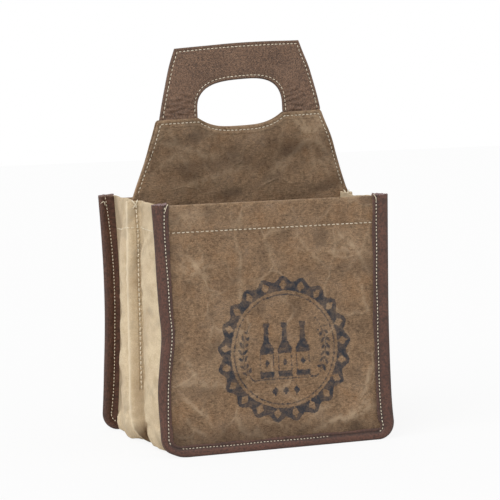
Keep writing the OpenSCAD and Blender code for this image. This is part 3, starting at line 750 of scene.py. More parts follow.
def binding_section(outer, inner, seam):
    """Points of the grain side from the edge of the outer leg round to that of the inner:
    distance from the outline, depth from the front, and thickness of the leather. The
    widths may be arrays, with a section for each."""
    rows = [
        [outer, 0.5, 0.8], [0.4 * seam + 0.6 * outer, 0.1, 1.2],
        [0.7 * seam + 0.3 * outer, 0.2, 1.1], [seam, 0.55, 0.8],
        [seam - 1.3, 0.1, 1.2], [0.7 * seam, -0.4, BINDING_T],
        [0.4 * seam, -0.5, BINDING_T], [0.15 * seam, 0.1, BINDING_T],
        [0.25, 1.4, BINDING_T], [0, 2.6, BINDING_T], [0.25, 3.8, BINDING_T],
        [0.15 * seam, 5.05, BINDING_T], [0.4 * seam, 5.6, BINDING_T],
        [0.7 * seam, 5.5, BINDING_T], [seam - 1.3, 5.1, 1.2], [seam, 4.65, 0.8],
        [inner, 5.1, 1.1]]
    return np.array([[value + 0 * seam for value in row] for row in rows]).swapaxes(1, 2)


print("a binding is", length_along(binding_line(1.8)[0])[-1].round(1), "mm long")

# %% [markdown]
# The leather was folded over and sewn by hand, so its width and its seam wander, and no
# side is like another. Noise alone could loosen it, but each seam has to lie where the
# photograph shows it. So a table says how far in the seam and the leather's edge lie at
# seven heights of each side, and noise adds only a quarter of a millimetre or so.
# %% Front and back bindings
# How far in seam and outer edge lie along the foot; the inner leg, and its lack there.
FOOT_SEAM, FOOT_EDGE, INNER_LEG, INNER_LESS = 7.5, 10.5, 14.0, 3.9
SLOPE_STOPS = [0, 45, 90, 135, 180, 200, 218]
# Of each side: how far in its seam and the edge of its outer leg lie at those heights.
SEWN = {(on_front, -1): ([5.0, 7.9, 8.8, 9.5, 9.0, 9.2, 11.2],
                         [9.6, 10.6, 11.4, 12.0, 13.0, 13.6, 14.6]),
        (on_front, 1): ([12.4, 12.2, 11.8, 11.9, 12.0, 12.1, 12.2], [15.6] * 7),
        (on_back, 1): ([7.0, 8.7, 9.0, 8.7, 8.3, 7.0, 5.4], [15.2] * 7),
        (on_back, -1): ([10.5] * 7, [15.2] * 7)}


def sewn_at(place, at, share, seed):
    """How far in a binding's seam and the edge of its outer leg lie at places of its
    outline: by hand it was never folded or sewn evenly, and every side differs."""
    run, found = length_along(at), []
    for row, foot in enumerate((FOOT_SEAM, FOOT_EDGE)):
        left, right = (smooth_line(SEWN[place, q][row], SLOPE_STOPS, at[:, 1]) for q in (-1, 1))
        side = np.where(at[:, 0] < 0, left, right)
        found.append(side + (foot - side) * share)
    return found[0] + 0.25 * ripples(run, 0, 60, seed + 8), found[1]


def binding(name, place, seed):
    """The folded strip as an object, and its length and width on the flat."""
    at, way, share = binding_line(1.8)
    run = length_along(at)
    seam, outer = sewn_at(place, at, share, seed)
    points = binding_section(outer, INNER_LEG - INNER_LESS * share, seam)
    points[:2, :, 0] += 0.25 * ripples(run, 0, 45, seed) + 0.1 * ripples(run, 0, 12, seed + 1)
    points[4:8, :, 1] -= 0.18 * ripples(run, 0, 30, seed + 2) * [[0.6], [1], [1], [0.4]]
    knots = length_along(points[:, 0, :2])
    line = smooth_line(points, knots, steps(0, 0.75, 12.5, 0.45, 21.5, 0.9, knots[-1]))
    w, d, thick = np.moveaxis(line, -1, 0)
    slope = unit(np.gradient(line[..., :2], axis=0))
    longer = np.linspace(0, 1, len(line))[:, None]
    ragged = 0.3 * ripples(12 * longer, 0, 0.8, seed + 3)
    if place is on_front:
        longer = 0.4 + 1.7 * longer**2 + 1.8 * bump(longer, 0, 0.06) * (at[:, 0] > 0)
    else:
        longer = 1.7 * (1 - longer)**2 - 0.6
    longer = longer + ragged
    grids = []
    for inside in (0, thick):
        wide, deep = w + slope[..., 1] * inside, d - slope[..., 0] * inside
        spot = at + wide[..., None] * way
        high = spot[..., 1] + longer * fade(spot[..., 1], PANEL_H - 14, PANEL_H)
        grids.append(place(spot[..., 0], high, deep))
    cloth = points_of(run, length_along(line[:, 0, :2])[:, None])
    # The roll between seam and fold is lighter, a painted highlight with some rubbing. The seam's
    # groove and the fold are darker, painted shade, and so is the right end of the front strip,
    # painted shade on the side turned from the lamp.
    bulge = fade(d, 0, -0.45)
    groove = bump(w, points[3, :, 0], 1.1) * (d < 2)
    right = fade(at[:, 0], 70, 105) * (0.1 + 0.3 * fade(d, -0.4, 1.6)) * (place is on_front)
    fields = {"worn": bulge * 0.8,
              "soil": 0.5 * groove + 0.3 * fade(abs(d - 2.6), 1.6, 0) + right}
    piece = new_shell(name, *grids, [binding_leather, binding_flesh, binding_edge], cloth, fields)
    return piece, run[-1], cloth[-1, 0, 1]


front_binding, *front_strip = binding("front_binding_strip", on_front, 31)
back_binding, *back_strip = binding("back_binding_strip", on_back, 47)

# %% [markdown]
# ## Gusset
# The sides and the bottom are one long strip of heavy canvas. At each side it bulges out
# in two lobes, because its middle is caught in a tuck that holds the divider. It could be
# boxes pushed into shape, but a strip has one length all along, and that is easier kept
# with stations. Each holds a root, the way out, the width of the flange in the seam, how
# far lobe, valley and tuck stand out, and half the tuck's width.
# %% Stations of the gusset
# How far lobe and tuck stand out; half the tuck's width; where the side wall stands, and
# where the tuck's seam ends. Then the wall's corner: its radius, its height above the
# table, and how far the base hangs below it.
LOBE, TUCK, TUCK_HALF, WALL_X, TUCK_END = 15.0, 14.5, 1.9, 95.0, 49.0
BEND_R, ROOT_Z, BASE_SAG = 6, 11.5, 10.65


def side_stations():
    """Stations from the rim down one side and round its corner to the floor, as rows of
    root x, root z, out x, out z, flange, lobe, valley, tuck and half width."""
    z = np.array([RIM_H, 192, 156.25, 120.5, 84.75, 63.3, 49, 36.4, 25.4])
    lobe = np.array([0.58, 0.72, 0.9, 1, 1, 1, 1, 0.95, 0.9, 0.88, 0.82, 0.7, 0.55, 0.5])
    valley = np.array([0] * 10 + [0.06, 0.22, 0.5, 0.65])
    tuck = np.array([0.98, 0.98, 1, 1.02, 1.02, 1.02, 1.04, 1.04, 1, 0.88, 0.78, 0.76, 0.76, 0.76])
    width = np.array([1] * 7 + [1.1, 1.3, 1.6, 2, 2.4, 3.2, 5])
    a = np.radians([0, 22.5, 45, 67.5, 90])
    out = points_of(-np.cos(a), -np.sin(a))
    wall = np.stack([0 * z - WALL_X, z, 0 * z - 1, 0 * z, 0 * z + 13.6], -1)
    bend = np.concatenate([[BEND_R - WALL_X, ROOT_Z + BEND_R] + BEND_R * out, out,
                           12.6 + out @ np.array([[-1], [2.5]])], -1)
    return np.column_stack([np.concatenate([wall, bend]), lobe * LOBE, valley * LOBE,
                            tuck * TUCK, width * TUCK_HALF])


def strip_stations():
    """All stations from the left rim over the floor to the right rim."""
    left = side_stations()
    flat = np.tile([0, ROOT_Z, 0, -1, 10.1, 0, BASE_SAG, BASE_SAG, 6 * TUCK_HALF], (5, 1))
    flat[:, 0] = (WALL_X - BEND_R) * np.array([-0.75, -0.35, 0, 0.35, 0.75])
    return np.concatenate([left, flat, left[::-1] * [-1, 1, -1, 1, 1, 1, 1, 1, 1]])


stations = strip_stations()
station_at = length_along(stations[:, :2])


def to_end(where):
    """Distance along the strip from places on it to its nearer end."""
    return np.minimum(where, station_at[-1] - where)


print(len(stations), "stations over", station_at[-1].round(1), "mm")

# %% [markdown]
# At each station half of the cloth's line runs from the flange's edge, round a tight
# turn, over the lobe as sin(pi t^0.8)^0.8, down to the valley as 1 - (1 - t)^3, and up
# the face of the tuck. The back lobe leans further over, with t^2.1, as on the real bag.
# A curve drawn by hand would do for one station, but not for all on the way down.
# %% Line of the gusset across the bag
# How deep behind the bag's face the cloth's middle lies in the seam; how far it stays
# above the table; and the grid's step.
GUSSET_IN, FLOOR_GAP, GUSSET_STEP = 3.25, 0.9, 2.1


def half_line(row, where, back):
    """Points of half the line at every station: depth from the bag's middle and
    distance out from the root. Back is 0 for the front half and 1 for the back half."""
    _, z, _, down, flange, lobe, valley, tuck, half = row.T
    lean = math.tan(LEAN)
    y0 = BASE_D / 2 - z * lean - GUSSET_IN / math.cos(LEAN)
    edge = y0 - flange * down * lean
    limit = np.where(down < -0.1, (z - FLOOR_GAP) / np.maximum(-down, 0.1), 99)
    turn_r, y1 = 1.1 * GUSSET_T, half + 2.8 * GUSSET_T
    lobe = lobe * (1 + 0.06 * ripples(where, 0, 70, 61 + back) + (-0.14, -0.06)[back])
    end = to_end(where)
    skew = (0.8, 2.1)[back] + 0.04 * ripples(where, 0, 90, 71 + back)
    sharp = (0.8, 0.9)[back]
    flare = 8 * back * bump(end, 206, 5)
    flat_top = fade(z, 176, 213)
    lobe = lobe * (1 - 0.75 * flat_top)
    valley = valley + (2.2 - valley) * flat_top
    flat = 0 * z
    line = [(edge, flange), ((edge + y0) / 2, flange / 2), (y0, flat + turn_r),
            (y0 - 0.3 * turn_r, flat + 0.3 * turn_r), (y0 - turn_r, flat)]
    start = y0 - 2.55
    line.append((start, flat))
    for t in (0.08, 0.18, 0.3, 0.44, 0.6, 0.78, 0.92):
        out = lobe * np.sin(np.pi * t**skew)**sharp + valley * (1 - (1 - t)**3)
        out += flare * bump(t, 0.2, 0.12)
        out += 0.9 * ripples(where, 60 * t, 32, 81 + back) * math.sin(math.pi * t)
        line.append((start + (y1 - start) * t, out))
    rise = tuck - valley
    line += [(y1, valley), (half + 0.4 * GUSSET_T, valley + 0.1 * rise),
             (half, valley + 0.6 * rise), (0.6 * half, valley + 0.9 * rise)]
    points = np.stack([np.stack(p) for p in line])
    points[:, 1] = np.minimum(points[:, 1], limit)
    return points, np.minimum(tuck, limit)


def sway(where):
    """How far the tuck wanders to the front or back along the strip, in millimetres."""
    middle = station_at[-1] / 2
    return 0.7 * ripples(where, 0, 80, 91) * fade(abs(where - middle), 120, 160)


def gusset_points(where, step):
    """Roots, ways out and lines at places along the strip, the lines read at steps
    across them: three arrays, for the places, the places, and line by place by two."""
    row = smooth_line(stations, station_at, where)
    row[:, 2:4] = unit(row[:, 2:4])
    front, tip = half_line(row, where, 0)
    back, _ = half_line(row, where, 1)
    front[:, 0] *= -1
    front[13:, 0] += sway(where)
    back[13:, 0] += sway(where)
    line = np.concatenate([front, [[sway(where), tip]], back[::-1]])
    line = np.moveaxis(line, 1, 2)
    knots = length_along(line[:, len(where) // 8])
    return row[:, :2], row[:, 2:4], smooth_line(line, knots, steps(0, step, knots[-1]))


across = gusset_points(station_at, GUSSET_STEP)[2]
print("the line has", len(across), "points from seam to seam")

# %% [markdown]
# Both ends of the strip are turned to the inside for 25 mm, like the panels. The rows of
# the mesh therefore begin at the raw edge inside, rise to the rim, turn over and go on
# down the outside, where a second strip for the hem would show its edge. The turn moves
# the cloth in by a little more than its thickness.
# %% Faces of the gusset
# The hem's fold: its radius, and how far below the rim it turns.
HEM_R, FOLD_AT = 0.6, 1.2


def gusset_grid(where, turned, step, thick):
    """Points of one face of the strip, thick out from its middle. Turned is 0 outside and
    pi in the hem. Between them the cloth rises above the rim by HEM_R sin(turned)."""
    root, out, line = gusset_points(where, step)
    slope = unit(np.gradient(line, axis=0))
    normal = points_of(-slope[..., 1], slope[..., 0])
    crumple = ripples(where, length_along(line[:, 0])[:, None], 13, 99)[..., None]
    near_corner = bump(to_end(where), 198, 12)
    crumple = (0.2 + 0.5 * near_corner[:, None]) * crumple * fade(line[..., 1:], 1, 4)
    line = line + normal * (crumple + (HEM_R * (np.cos(turned) - 1)
                                       + thick * np.cos(turned))[:, None])
    y, far = line[..., 0], line[..., 1]
    x = root[:, 0] + far * out[:, 0]
    z = root[:, 1] + far * out[:, 1] + HEM_R * np.sin(turned) + thick * np.sin(turned)
    left_sag = 0.2 + 1.6 * fade(abs(y + 10), 30, 62)
    right_sag = 4.6 - 3.2 * fade(abs(y), 9, 3)
    sag = np.where(root[:, 0] > 0, right_sag, left_sag)
    z = z - sag * fade(z, 180, RIM_H) * fade(far, 0.5, 5)
    return slump(points_of(x, y, np.maximum(z, 0.25))), line


hem, angle = steps(HEM_H, 2.2, FOLD_AT), np.linspace(np.pi, 0, 8)
half_length = station_at[-1] / 2
outside = steps(FOLD_AT, 2.2, half_length - 0.5)[1:]
where = np.concatenate([hem, 0 * angle + FOLD_AT, outside])
turned = np.concatenate([0 * hem + np.pi, angle, 0 * outside])
where = np.concatenate([where, station_at[-1] - where[::-1]])
turned = np.concatenate([turned, turned[::-1]])
outer, line = gusset_grid(where, turned, GUSSET_STEP, GUSSET_T / 2)
inner, _ = gusset_grid(where, turned, GUSSET_STEP, -GUSSET_T / 2)
print("the strip's grid", outer.shape[:2])

# %% [markdown]
# Wear and painted light follow the form here: painted shade where the strip lies deep
# between the lobes, a painted shadow in the notch where the tuck ends near each lower
# corner, painted shade on the tuck's front face, and a pale line on the tuck's fold that
# is wear and painted highlight. Grey smudges of wax are added in random clouds. Each is
# read from the grid itself, so it stays in its place when a lobe changes. It could be
# painted on, but it would have to be painted again each time.
# %% Wear and painted light of the gusset, and its piece
run = length_along(points_of(where, HEM_R * np.cos(turned)))
across = length_along(line[:, 40])
# Painted shade where the strip lies deep between the lobes.
deep = 0.32 * np.exp(-np.maximum(line[..., 1], 0) / 3.5)
smudge_and_shade = 0.2 * fade(ripples(run, across[:, None], 38, 97), 0.9, 2)
middle = fade(-line[..., 0], 1, 3) * fade(line[..., 0], -11, -6)
# A painted shadow in the notch where the tuck ends, near each lower corner.
smudge_and_shade += bump(to_end(where), 205, 6) * middle
tip = np.argmin(abs(line[:, 40, 0] - sway(where[40])) + 99 * (line[:, 40, 1] < 8))
# The tuck's fold is pale: partly wear, partly a painted highlight where the fold catches the
# light.
fold = bump(across, across[tip], 0.9)[:, None]
fold = fold * fade(abs(where - half_length), 80, 120)
# Painted shade on the tuck's front face.
face = (abs(line[..., 0] - sway(where) + 2.2) < 1.6) & (line[..., 1] > 2)
smudge_and_shade = smudge_and_shade + 0.05 * face
cloth = points_of(run, across[:, None] - across[tip])
sewn = fade(abs(where - half_length), half_length - 170, half_length - 168)
sewn = np.broadcast_to(sewn * (turned < 1), smudge_and_shade.shape)
gusset = new_shell("gusset_strip", outer, inner, [gusset_canvas], cloth,
                   {"soil": deep * (turned < 1) + smudge_and_shade, "crease": np.clip(fold, 0, 1),
                    "sewn": sewn})
gusset_cut = (run[-1], across[-1])

# %% [markdown]
# ## Divider and handle canvas
# Two layers of waxed canvas stand in the middle of the bag, caught in the tucks. Above
# the rim they rise on as the handle, narrowing to the shoulders, with all their edges
# turned in. Near the top they part, to hold the leather between them. The handle of the
# real bag hangs a little askew: its right side is higher, by 1.9 degrees. One thick sheet
# would do for a board, but two thin ones show the doubled edge and can bulge apart.
# %% Shape of the canvas layers
SHOULDER_Z, HANDLE_Z = 289.0, 352.0
ASKEW, ASKEW_FROM, ASKEW_Z = math.radians(1.9), 222, 290
# The lower edge, and half the width in the tucks, at the rim and at the shoulders. Then
# the hand hole: half its width, its height, and where it begins.
DIVIDER_Z, TUCKED_HALF, RIM_HALF, SHOULDER_HALF = 44, 104.0, 101.5, 79.25
HOLE_HALF, HOLE_H, HOLE_Z = 41, 29.3, 293


def askew(points):
    """Turns what is above the rim: z + a x and x - a (z - 290), where a grows from 0 at
    the rim to the full angle at the shoulders. The right shoulder lies 1.5 mm further in."""
    x, y, z = np.moveaxis(points, -1, 0)
    a = ASKEW * fade(z, ASKEW_FROM, ASKEW_Z)
    x = x - a * (z - ASKEW_Z) - 1.5 * fade(x, 40, 75) * fade(z, 255, 286) * fade(z, 290, 288)
    return points_of(x, y, z + a * points[..., 0])


def canvas_half(z):
    """Half the width of the doubled canvas: 104 in the tucks, then a hollow line to 79.25
    at the shoulders, with rounded top corners."""
    t = np.clip((z - RIM_H) / (SHOULDER_Z - RIM_H), 0, 1)
    slant = RIM_HALF - (RIM_HALF - SHOULDER_HALF) * t + 2.4 * (1 - t)**1.5
    corner = 2.6 * (1 - np.sqrt(1 - np.clip((z - SHOULDER_Z + 2.6) / 2.6, 0, 1)**2))
    return np.minimum(slant + 2.5 * fade(z, 220, 213.5), TUCKED_HALF) - corner


def canvas_top(x):
    """Height of the canvas edge: level, and 10 mm lower in the middle of the hole."""
    return SHOULDER_Z - 9.6 * (1 - np.clip(abs(x) / HOLE_HALF, 0, 1)**3.2)


print("the canvas edge in the middle is", canvas_top(0), "mm up")

# %% [markdown]
# Each layer has its edges turned in and sewn down, and is creased where it was bent. An
# even sheet could be thickened, but here the turned edge is round and half as thick again
# as the rest. So the height of the outside depends on how far the edge is: it rises in a
# quarter circle, dips at the seam, and steps down where the turned-in cloth ends.
# %% Canvas layers
# How far in the seam lies, and how deep it presses.
CANVAS_SEAM, GROOVE = 3.6, 0.45
# Patches of the canvas: across, up, width, height and share. The pale ones are partly painted
# highlight, the dark ones partly painted shade, of its broad soft folds.
CANVAS_PALE = [(64, 274, 14, 13, 0.55), (-66, 252, 22, 6, 0.3), (-30, 276, 14, 8, 0.3),
               (66, 240, 16, 9, 0.3)]
CANVAS_DARK = [(-20, 247, 34, 6, 0.3), (30, 264, 10, 10, 0.2), (-64, 268, 14, 6, 0.2),
               (78, 252, 10, 6, 0.2), (-50, 223, 40, 4, 0.2), (60, 222, 24, 3, 0.15)]
CANVAS_CREASES = [
    (-70, 286, -52, 240, 6, 0.7), (-46, 284, -30, 236, 5, 0.5), (60, 288, 74, 236, 6, 0.7),
    (44, 284, 30, 240, 5, 0.5), (-92, 232, -60, 262, 5, 0.6), (90, 230, 62, 258, 5, 0.6),
    (-20, 262, 18, 232, 7, 0.5), (10, 274, -26, 226, 6, 0.4), (84, 284, 20, 226, 11, 1.4),
    (50, 288, 94, 236, 9, -1.3), (-80, 270, -20, 250, 10, 1.2), (-60, 226, 10, 244, 9, -1.0)]


def canvas_place(x, z):
    """How far the layers stand from the middle, how far both wave to the back, and the
    paleness of the creases, at x across and z up."""
    lift, pale = crease(x, z, CANVAS_CREASES)
    wave = 1.1 * ripples(x, z, 90, 5) * fade(z, 224, 240) * fade(z, 286, 262)
    wave += 1.4 * ripples(x, z, 110, 6) * fade(z, 60, 90) * fade(z, 212, 190)
    wave = wave * fade(abs(x), 98, 80) + lift * 0.6 * fade(z, 224, 236)
    return 0.6 + 1.8 * fade(z, 247, 270), wave, pale


def canvas_layer(name, side):
    """One layer, on the side -1 in front or 1 behind."""
    rows = steps(DIVIDER_Z, 3, 208, 1.2, 230, 1.8, 270, 1.2, 281, 0.55, 288.2, 0.2, SHOULDER_Z)
    share = steps(-1, 0.004, -0.992, 0.012, -0.93, 0.022, 0.93, 0.012, 0.992, 0.004, 1)
    z = rows[:, None]
    x = share * canvas_half(z)
    z = z + fade(z, 262, SHOULDER_Z) * (canvas_top(x) - SHOULDER_Z)
    edge = np.minimum(np.where(z > RIM_H, canvas_half(rows)[:, None] - abs(x), 9),
                      canvas_top(x) - z)
    parted, wave, pale = canvas_place(x, z)
    band = fade(edge, 7.6, 6.6)
    groove = GROOVE * bump(edge, CANVAS_SEAM, 0.8)
    round_edge = np.sqrt(1 - (1 - np.clip(edge / 0.9, 0, 1))**2)
    out = (DIVIDER_T / 2 + 0.55 * band - groove) * np.maximum(round_edge, 0.04)
    grids = [askew(points_of(x, side * parted + wave + side * t, z))
             for t in (out, -DIVIDER_T / 2 * round_edge)]
    # Paler just above the rim: painted light, where the front of the bag shades the canvas.
    pale = pale + 0.15 * fade(z, 240, 226) * (z > RIM_H)
    pale = pale + 0.5 * fade(edge, 11, 6) * fade(z, 262, 272) + soft_patches(x, z, CANVAS_PALE)
    soil = 0.13 * fade(z, 229, 243) * fade(z, 292, 268) + 0.3 * groove / GROOVE
    soil += 0.25 * fade(z, RIM_H, 160) + 0.42 * fade(ripples(0.5 * x, z, 26, 8), 0.1, 1.5)
    fields = {"crease": np.maximum(pale, 0.7 * bump(edge, 0, 0.7)),
              "soil": soil + soft_patches(x, z, CANVAS_DARK)}
    return new_shell(name, *grids, [handle_canvas], points_of(x, z), fields)


canvas_front = canvas_layer("handle_canvas_front_layer", -1)
canvas_back = canvas_layer("handle_canvas_back_layer", 1)

# %% [markdown]
# ## Leather of the handle
# Two arches of grained leather are cut together round the hand hole and sewn back to
# back. An extruded outline would be one flat face, with nothing for wrinkles to lift.
# Each is a ruled surface between the edge of the hole and the outer edge instead, so its
# rows run along both. The hole's top is the curve |x|^3 + |z|^3 = 1, stretched to 82 by
# 29 mm.
# %% Edges of the arch
# The lower end, and half the width at the canvas edge and at the top.
ARCH_FOOT, FOOT_HALF, TOP_HALF = 269.0, 77, 59.25


def outer_edge(inset=0.0, foot=ARCH_FOOT):
    """Outer edge in three runs: up the right leg, over the top, down the left leg."""
    high = HANDLE_Z - inset
    z = steps(foot, 1.2, high)
    t = (z - SHOULDER_Z) / (HANDLE_Z - SHOULDER_Z)
    half = FOOT_HALF - (FOOT_HALF - TOP_HALF) * t + 5.2 * t * (1 - np.maximum(t, 0)) - inset
    x = steps(half[-1], 1.2, -half[-1])
    top = points_of(x, high + 1.3 * (1 - (x / TOP_HALF)**2) + 0.014 * x - 0.3)
    left = points_of(-half, z - 1.1 * fade(z, 335, high))[::-1]
    half = half + 1.1 * fade(z, 345, 325)
    right = points_of(half, z + 0.5 * fade(z, 335, high))
    return right, top, left


def hole_edge(grow=0.0, foot=ARCH_FOOT):
    """Edge of the hand hole in three runs, parted where its curve is at 45 degrees. At an
    angle a it lies at (wide cos(a)^(2/3), high sin(a)^(2/3)), and the right is higher."""
    wide, high = HOLE_HALF + grow, HOLE_H + grow
    first, top = (points_of(wide * np.sign(np.cos(a)) * abs(np.cos(a))**(2 / 3),
                            HOLE_Z + high * np.sin(a)**(2 / 3))
                  for a in (np.linspace(0, np.pi / 4, 24),
                            np.linspace(np.pi / 4, 3 * np.pi / 4, 48)))
    leg = np.concatenate([[[wide, foot]], first])
    runs = leg, top, leg[::-1] * [-1, 1]
    return [run + (run[:, :1] * 0.03 - 1.2) * fade(run[:, 1:], HOLE_Z, 318) * [0, 1]
            for run in runs]


print("round the hand hole", round(sum(length_along(run)[-1] for run in hole_edge())), "mm")

# %% [markdown]
# Thick leather is squeezed by its seams and swells between them, and it has wrinkled where
# the handle bends, low on both legs. That could be sculpted, but it would be lost with the
# next change of the outline. So here too the height depends on how far the nearer edge
# is, and the wrinkles are waves three times as long across the leg as up it.
# %% Leather layers
# How far in both seams lie; half the gap between the arches; and the border that has a
# finer grid.
EDGE_SEAM, HOLE_SEAM, ARCH_GAP, BORDER = 3.2, 2.6, 0.05, 7


def arch_wave(x, z):
    """How far both arches bend to the back, in millimetres."""
    return 0.5 * ripples(x, z, 70, 17)


def leather_layer(name, side, seed, shift):
    """One arch, on the side -1 in front or 1 behind, with its outline moved by shift."""
    counts = (84, 118, 84)
    outer, inner = (np.concatenate([refit(r, n)[:-1] for r, n in zip(edge(), counts)]
                                   + [edge()[2][-1:]])
                    for edge in (outer_edge, hole_edge))
    run = length_along((outer + inner) / 2)
    wobble = 0.16 * ripples(run, 0, 45, seed)[:, None]
    way = unit(outer - inner)
    outer, inner = outer + way * wobble, inner + way * wobble[::-1] * 0.6
    span = np.linalg.norm(outer - inner, axis=1)
    near = steps(0, 0.25, 1, 0.6, 2.8, 0.4, 4.8, 1.1, BORDER)[:, None]
    middle = BORDER + (span - 2 * BORDER) * steps(0, 1 / 20, 1)[1:-1, None]
    at = np.concatenate([near + 0 * span, middle, (span - near)[::-1]])
    edge = np.minimum(at, span - at)
    spot = inner + way * at[..., None] + shift
    x, z = spot[..., 0], spot[..., 1]
    curved = arch_wave(x, z)
    seam = np.where(at < span / 2, HOLE_SEAM, EDGE_SEAM)
    groove = GROOVE * bump(edge, seam, 0.8)
    low = fade(z, 322, 300) * fade(edge, 1, 6)
    wrinkle = 0.5 * low * ripples(0.3 * x, z, 3.4, seed + 3)
    bulge = 0.3 * fade(edge, 4, 9)
    full = GRIP_T + ARCH_GAP
    out = full - groove + bulge + wrinkle - 0.8 * (1 - np.clip(edge / 0.9, 0, 1))**2
    grids = [askew(points_of(x, side * t + curved, z)) for t in (out, 0 * out + ARCH_GAP)]
    cloth = points_of(run, at)
    # Darker along the seams' grooves and at the edge.
    fields = {"worn": 0.5 * fade(edge, 5, 10) * fade(ripples(x, z, 30, seed + 5), -0.5, 1.5),
              "soil": 0.3 * groove / GROOVE + 0.25 * bump(edge, 0, 0.8)}
    return new_shell(name, *grids, [grip_leather, grip_leather, grip_edge], cloth, fields)


leather_front = leather_layer("handle_leather_front_arch", -1, 41, 0)
leather_back = leather_layer("handle_leather_back_arch", 1, 53, np.array([0.4, -0.5]))

# %% [markdown]
# ## Stitches
# Every seam is sewn with single visible stitches. Each is a short round bar that is
# highest in its middle and dives into the cloth at its ends, with three strands twisted
# round it. An Array modifier would repeat one stitch exactly, but no seam is so even:
# here each has a length, a lean and a place of its own. A seam is a line with a direction
# outward from the cloth at each point.
# %% Stitches along a line
# Rings along a stitch, and points round each.
RINGS, SIDES = 9, 8


def stitches(name, runs, pitch, seed, fill=0.75, width=0.85):
    """Stitches along lines of points and outward directions, pitch millimetres apart, of
    which the thread shows for the share fill. A run with a third item is one long stitch.
    At t from -1 to 1 along a stitch its radius is w / 2 (1 - t^6)^0.5 and its middle
    stands 0.12 - 0.5 t^4 above the cloth."""
    rng = np.random.default_rng(seed)
    t, a = np.linspace(-1, 1, RINGS), np.arange(SIDES) * 2 * np.pi / SIDES
    radius = width / 2 * np.sqrt(np.maximum(1 - t**6, 0.003))
    twist = 1 + 0.1 * np.cos(3 * a - 4 * t[:, None])
    spots, cloths = [], []
    for line, normal, *whole in runs:
        far = length_along(line)
        count = 1 if whole else round(far[-1] / pitch)
        middle = (np.arange(count) + 0.5) * far[-1] / count
        middle = middle + rng.normal(0, 0.04 * pitch, count)
        reach = far[-1] / 2 if whole else fill / 2 * pitch * rng.uniform(0.9, 1.08, (count, 1))
        at = middle[:, None] + reach * t
        spot, up = read_line(line, far, at), unit(read_line(normal, far, at))
        way = unit(np.gradient(spot, axis=1))
        side = np.cross(way, up)
        lean = rng.normal(0, 0.14, (count, 1, 1)) * t[:, None]
        centre = spot + up * (0.12 - 0.5 * t**4)[:, None] + side * lean
        ring = np.cos(a)[:, None] * side[:, :, None] + 0.85 * np.sin(a)[:, None] * up[:, :, None]
        spots.append(centre[:, :, None] + (radius[:, None] * twist)[..., None] * ring)
        cloths.append(points_of(at[..., None], a * width / 2))
    points, cloth = np.concatenate(spots), np.concatenate(cloths)
    row, j = np.arange(RINGS - 1)[:, None] * SIDES, np.arange(SIDES)
    after = (j + 1) % SIDES
    one = np.stack([row + j, row + after, row + SIDES + after, row + SIDES + j], -1)
    first = RINGS * SIDES * np.arange(len(points))[:, None, None]
    faces = (one.reshape(-1, 4) + first).reshape(-1, 4)
    return new_piece(name, points.reshape(-1, 3), faces, [thread], cloth.reshape(-1, 2))


def level_run(points, way, *whole):
    """A line with the same outward direction everywhere."""
    return points, np.broadcast_to(np.asarray(way, float), points.shape), *whole


print("one stitch has", RINGS * SIDES, "points")

# %% [markdown]
# The bindings are sewn through all four layers, so their seams show in front and behind,
# and a long stitch over the rim makes each end fast. The hems are sewn through two layers.
# The stitches could be snapped onto the finished meshes, but would be a little off after
# each change. So their lines come from the functions that also shaped cloth and leather.
# %% Stitches of bindings and hems
OUTWARD = {on_front: np.array([0, -math.cos(LEAN), math.sin(LEAN)]),
           on_back: np.array([0, math.cos(LEAN), math.sin(LEAN)])}


def binding_stitches(name, place, seed):
    """Seam of one binding, on its outer leg 0.5 to 0.7 deep and on its inner leg 4.7
    deep. In front it sinks out of sight in the left corner and under the right of the
    foot. At each end a long stitch goes over the rim."""
    at, way, share = binding_line(1.0)
    spot = at + sewn_at(place, at, share, seed)[0][:, None] * way
    keep = spot[:, 1] < PANEL_H - 1
    (x, s), share = spot[keep].T, share[keep]
    outward = OUTWARD[place]
    sunk = np.where(x < 0, (share > 0.3) & (share < 1), (share == 1) & (x > 46))
    sunk &= place is on_front
    parts = np.split(np.arange(len(x)), np.flatnonzero(np.diff(sunk)) + 1)
    runs = [level_run(place(x[i], s[i], 0.5 + 0.2 * share[i]), outward)
            for i in parts if not sunk[i[0]]]
    runs.append(level_run(place(x, s, 4.7), -outward))
    for side in (-1, 1):
        in_from = PANEL_W / 2 - SEWN[place, side][0][-1]
        tail = np.array([[0, -6.5], [-0.6, -3], [-2.8, 0.6]])
        if (place, side) == (on_back, 1):
            tail = np.array([[0, -10], [1.4, -6], [4.6, -8]])
        tail = smooth_line(tail + [in_from, PANEL_H + 1], [0, 1, 2], np.linspace(0, 2, 9))
        for depth, out in ((-0.4, outward), (5.6, -outward)):
            runs.append(level_run(place(side * tail[:, 0], tail[:, 1], depth), out, True))
    return stitches(name, runs, pitch=3.15, seed=seed, fill=0.66, width=0.8)


def hem_stitches(name, place, marks, seed):
    """Seam of one panel's hem, on both faces, between the bindings."""
    x = steps(-94.5, 0.5, 94.5)
    out, _, _ = panel_shape(x, 0 * x + HEM_SEAM, marks, seed)
    outward = OUTWARD[place]
    inside = FLAT_EDGE + PANEL_T + 2 * FOLD_R + 0.1
    return stitches(name, [level_run(place(x, HEM_SEAM, FLAT_EDGE - out), outward),
                           level_run(place(x, HEM_SEAM, inside - out), -outward)],
                    HEM_PITCH, seed, width=0.72)


front_binding_seam = binding_stitches("front_binding_stitches", on_front, 31)
back_binding_seam = binding_stitches("back_binding_stitches", on_back, 47)
front_hem_seam = hem_stitches("front_hem_stitches", on_front, FRONT_MARKS, 11)
back_hem_seam = hem_stitches("back_hem_stitches", on_back, BACK_MARKS, 23)

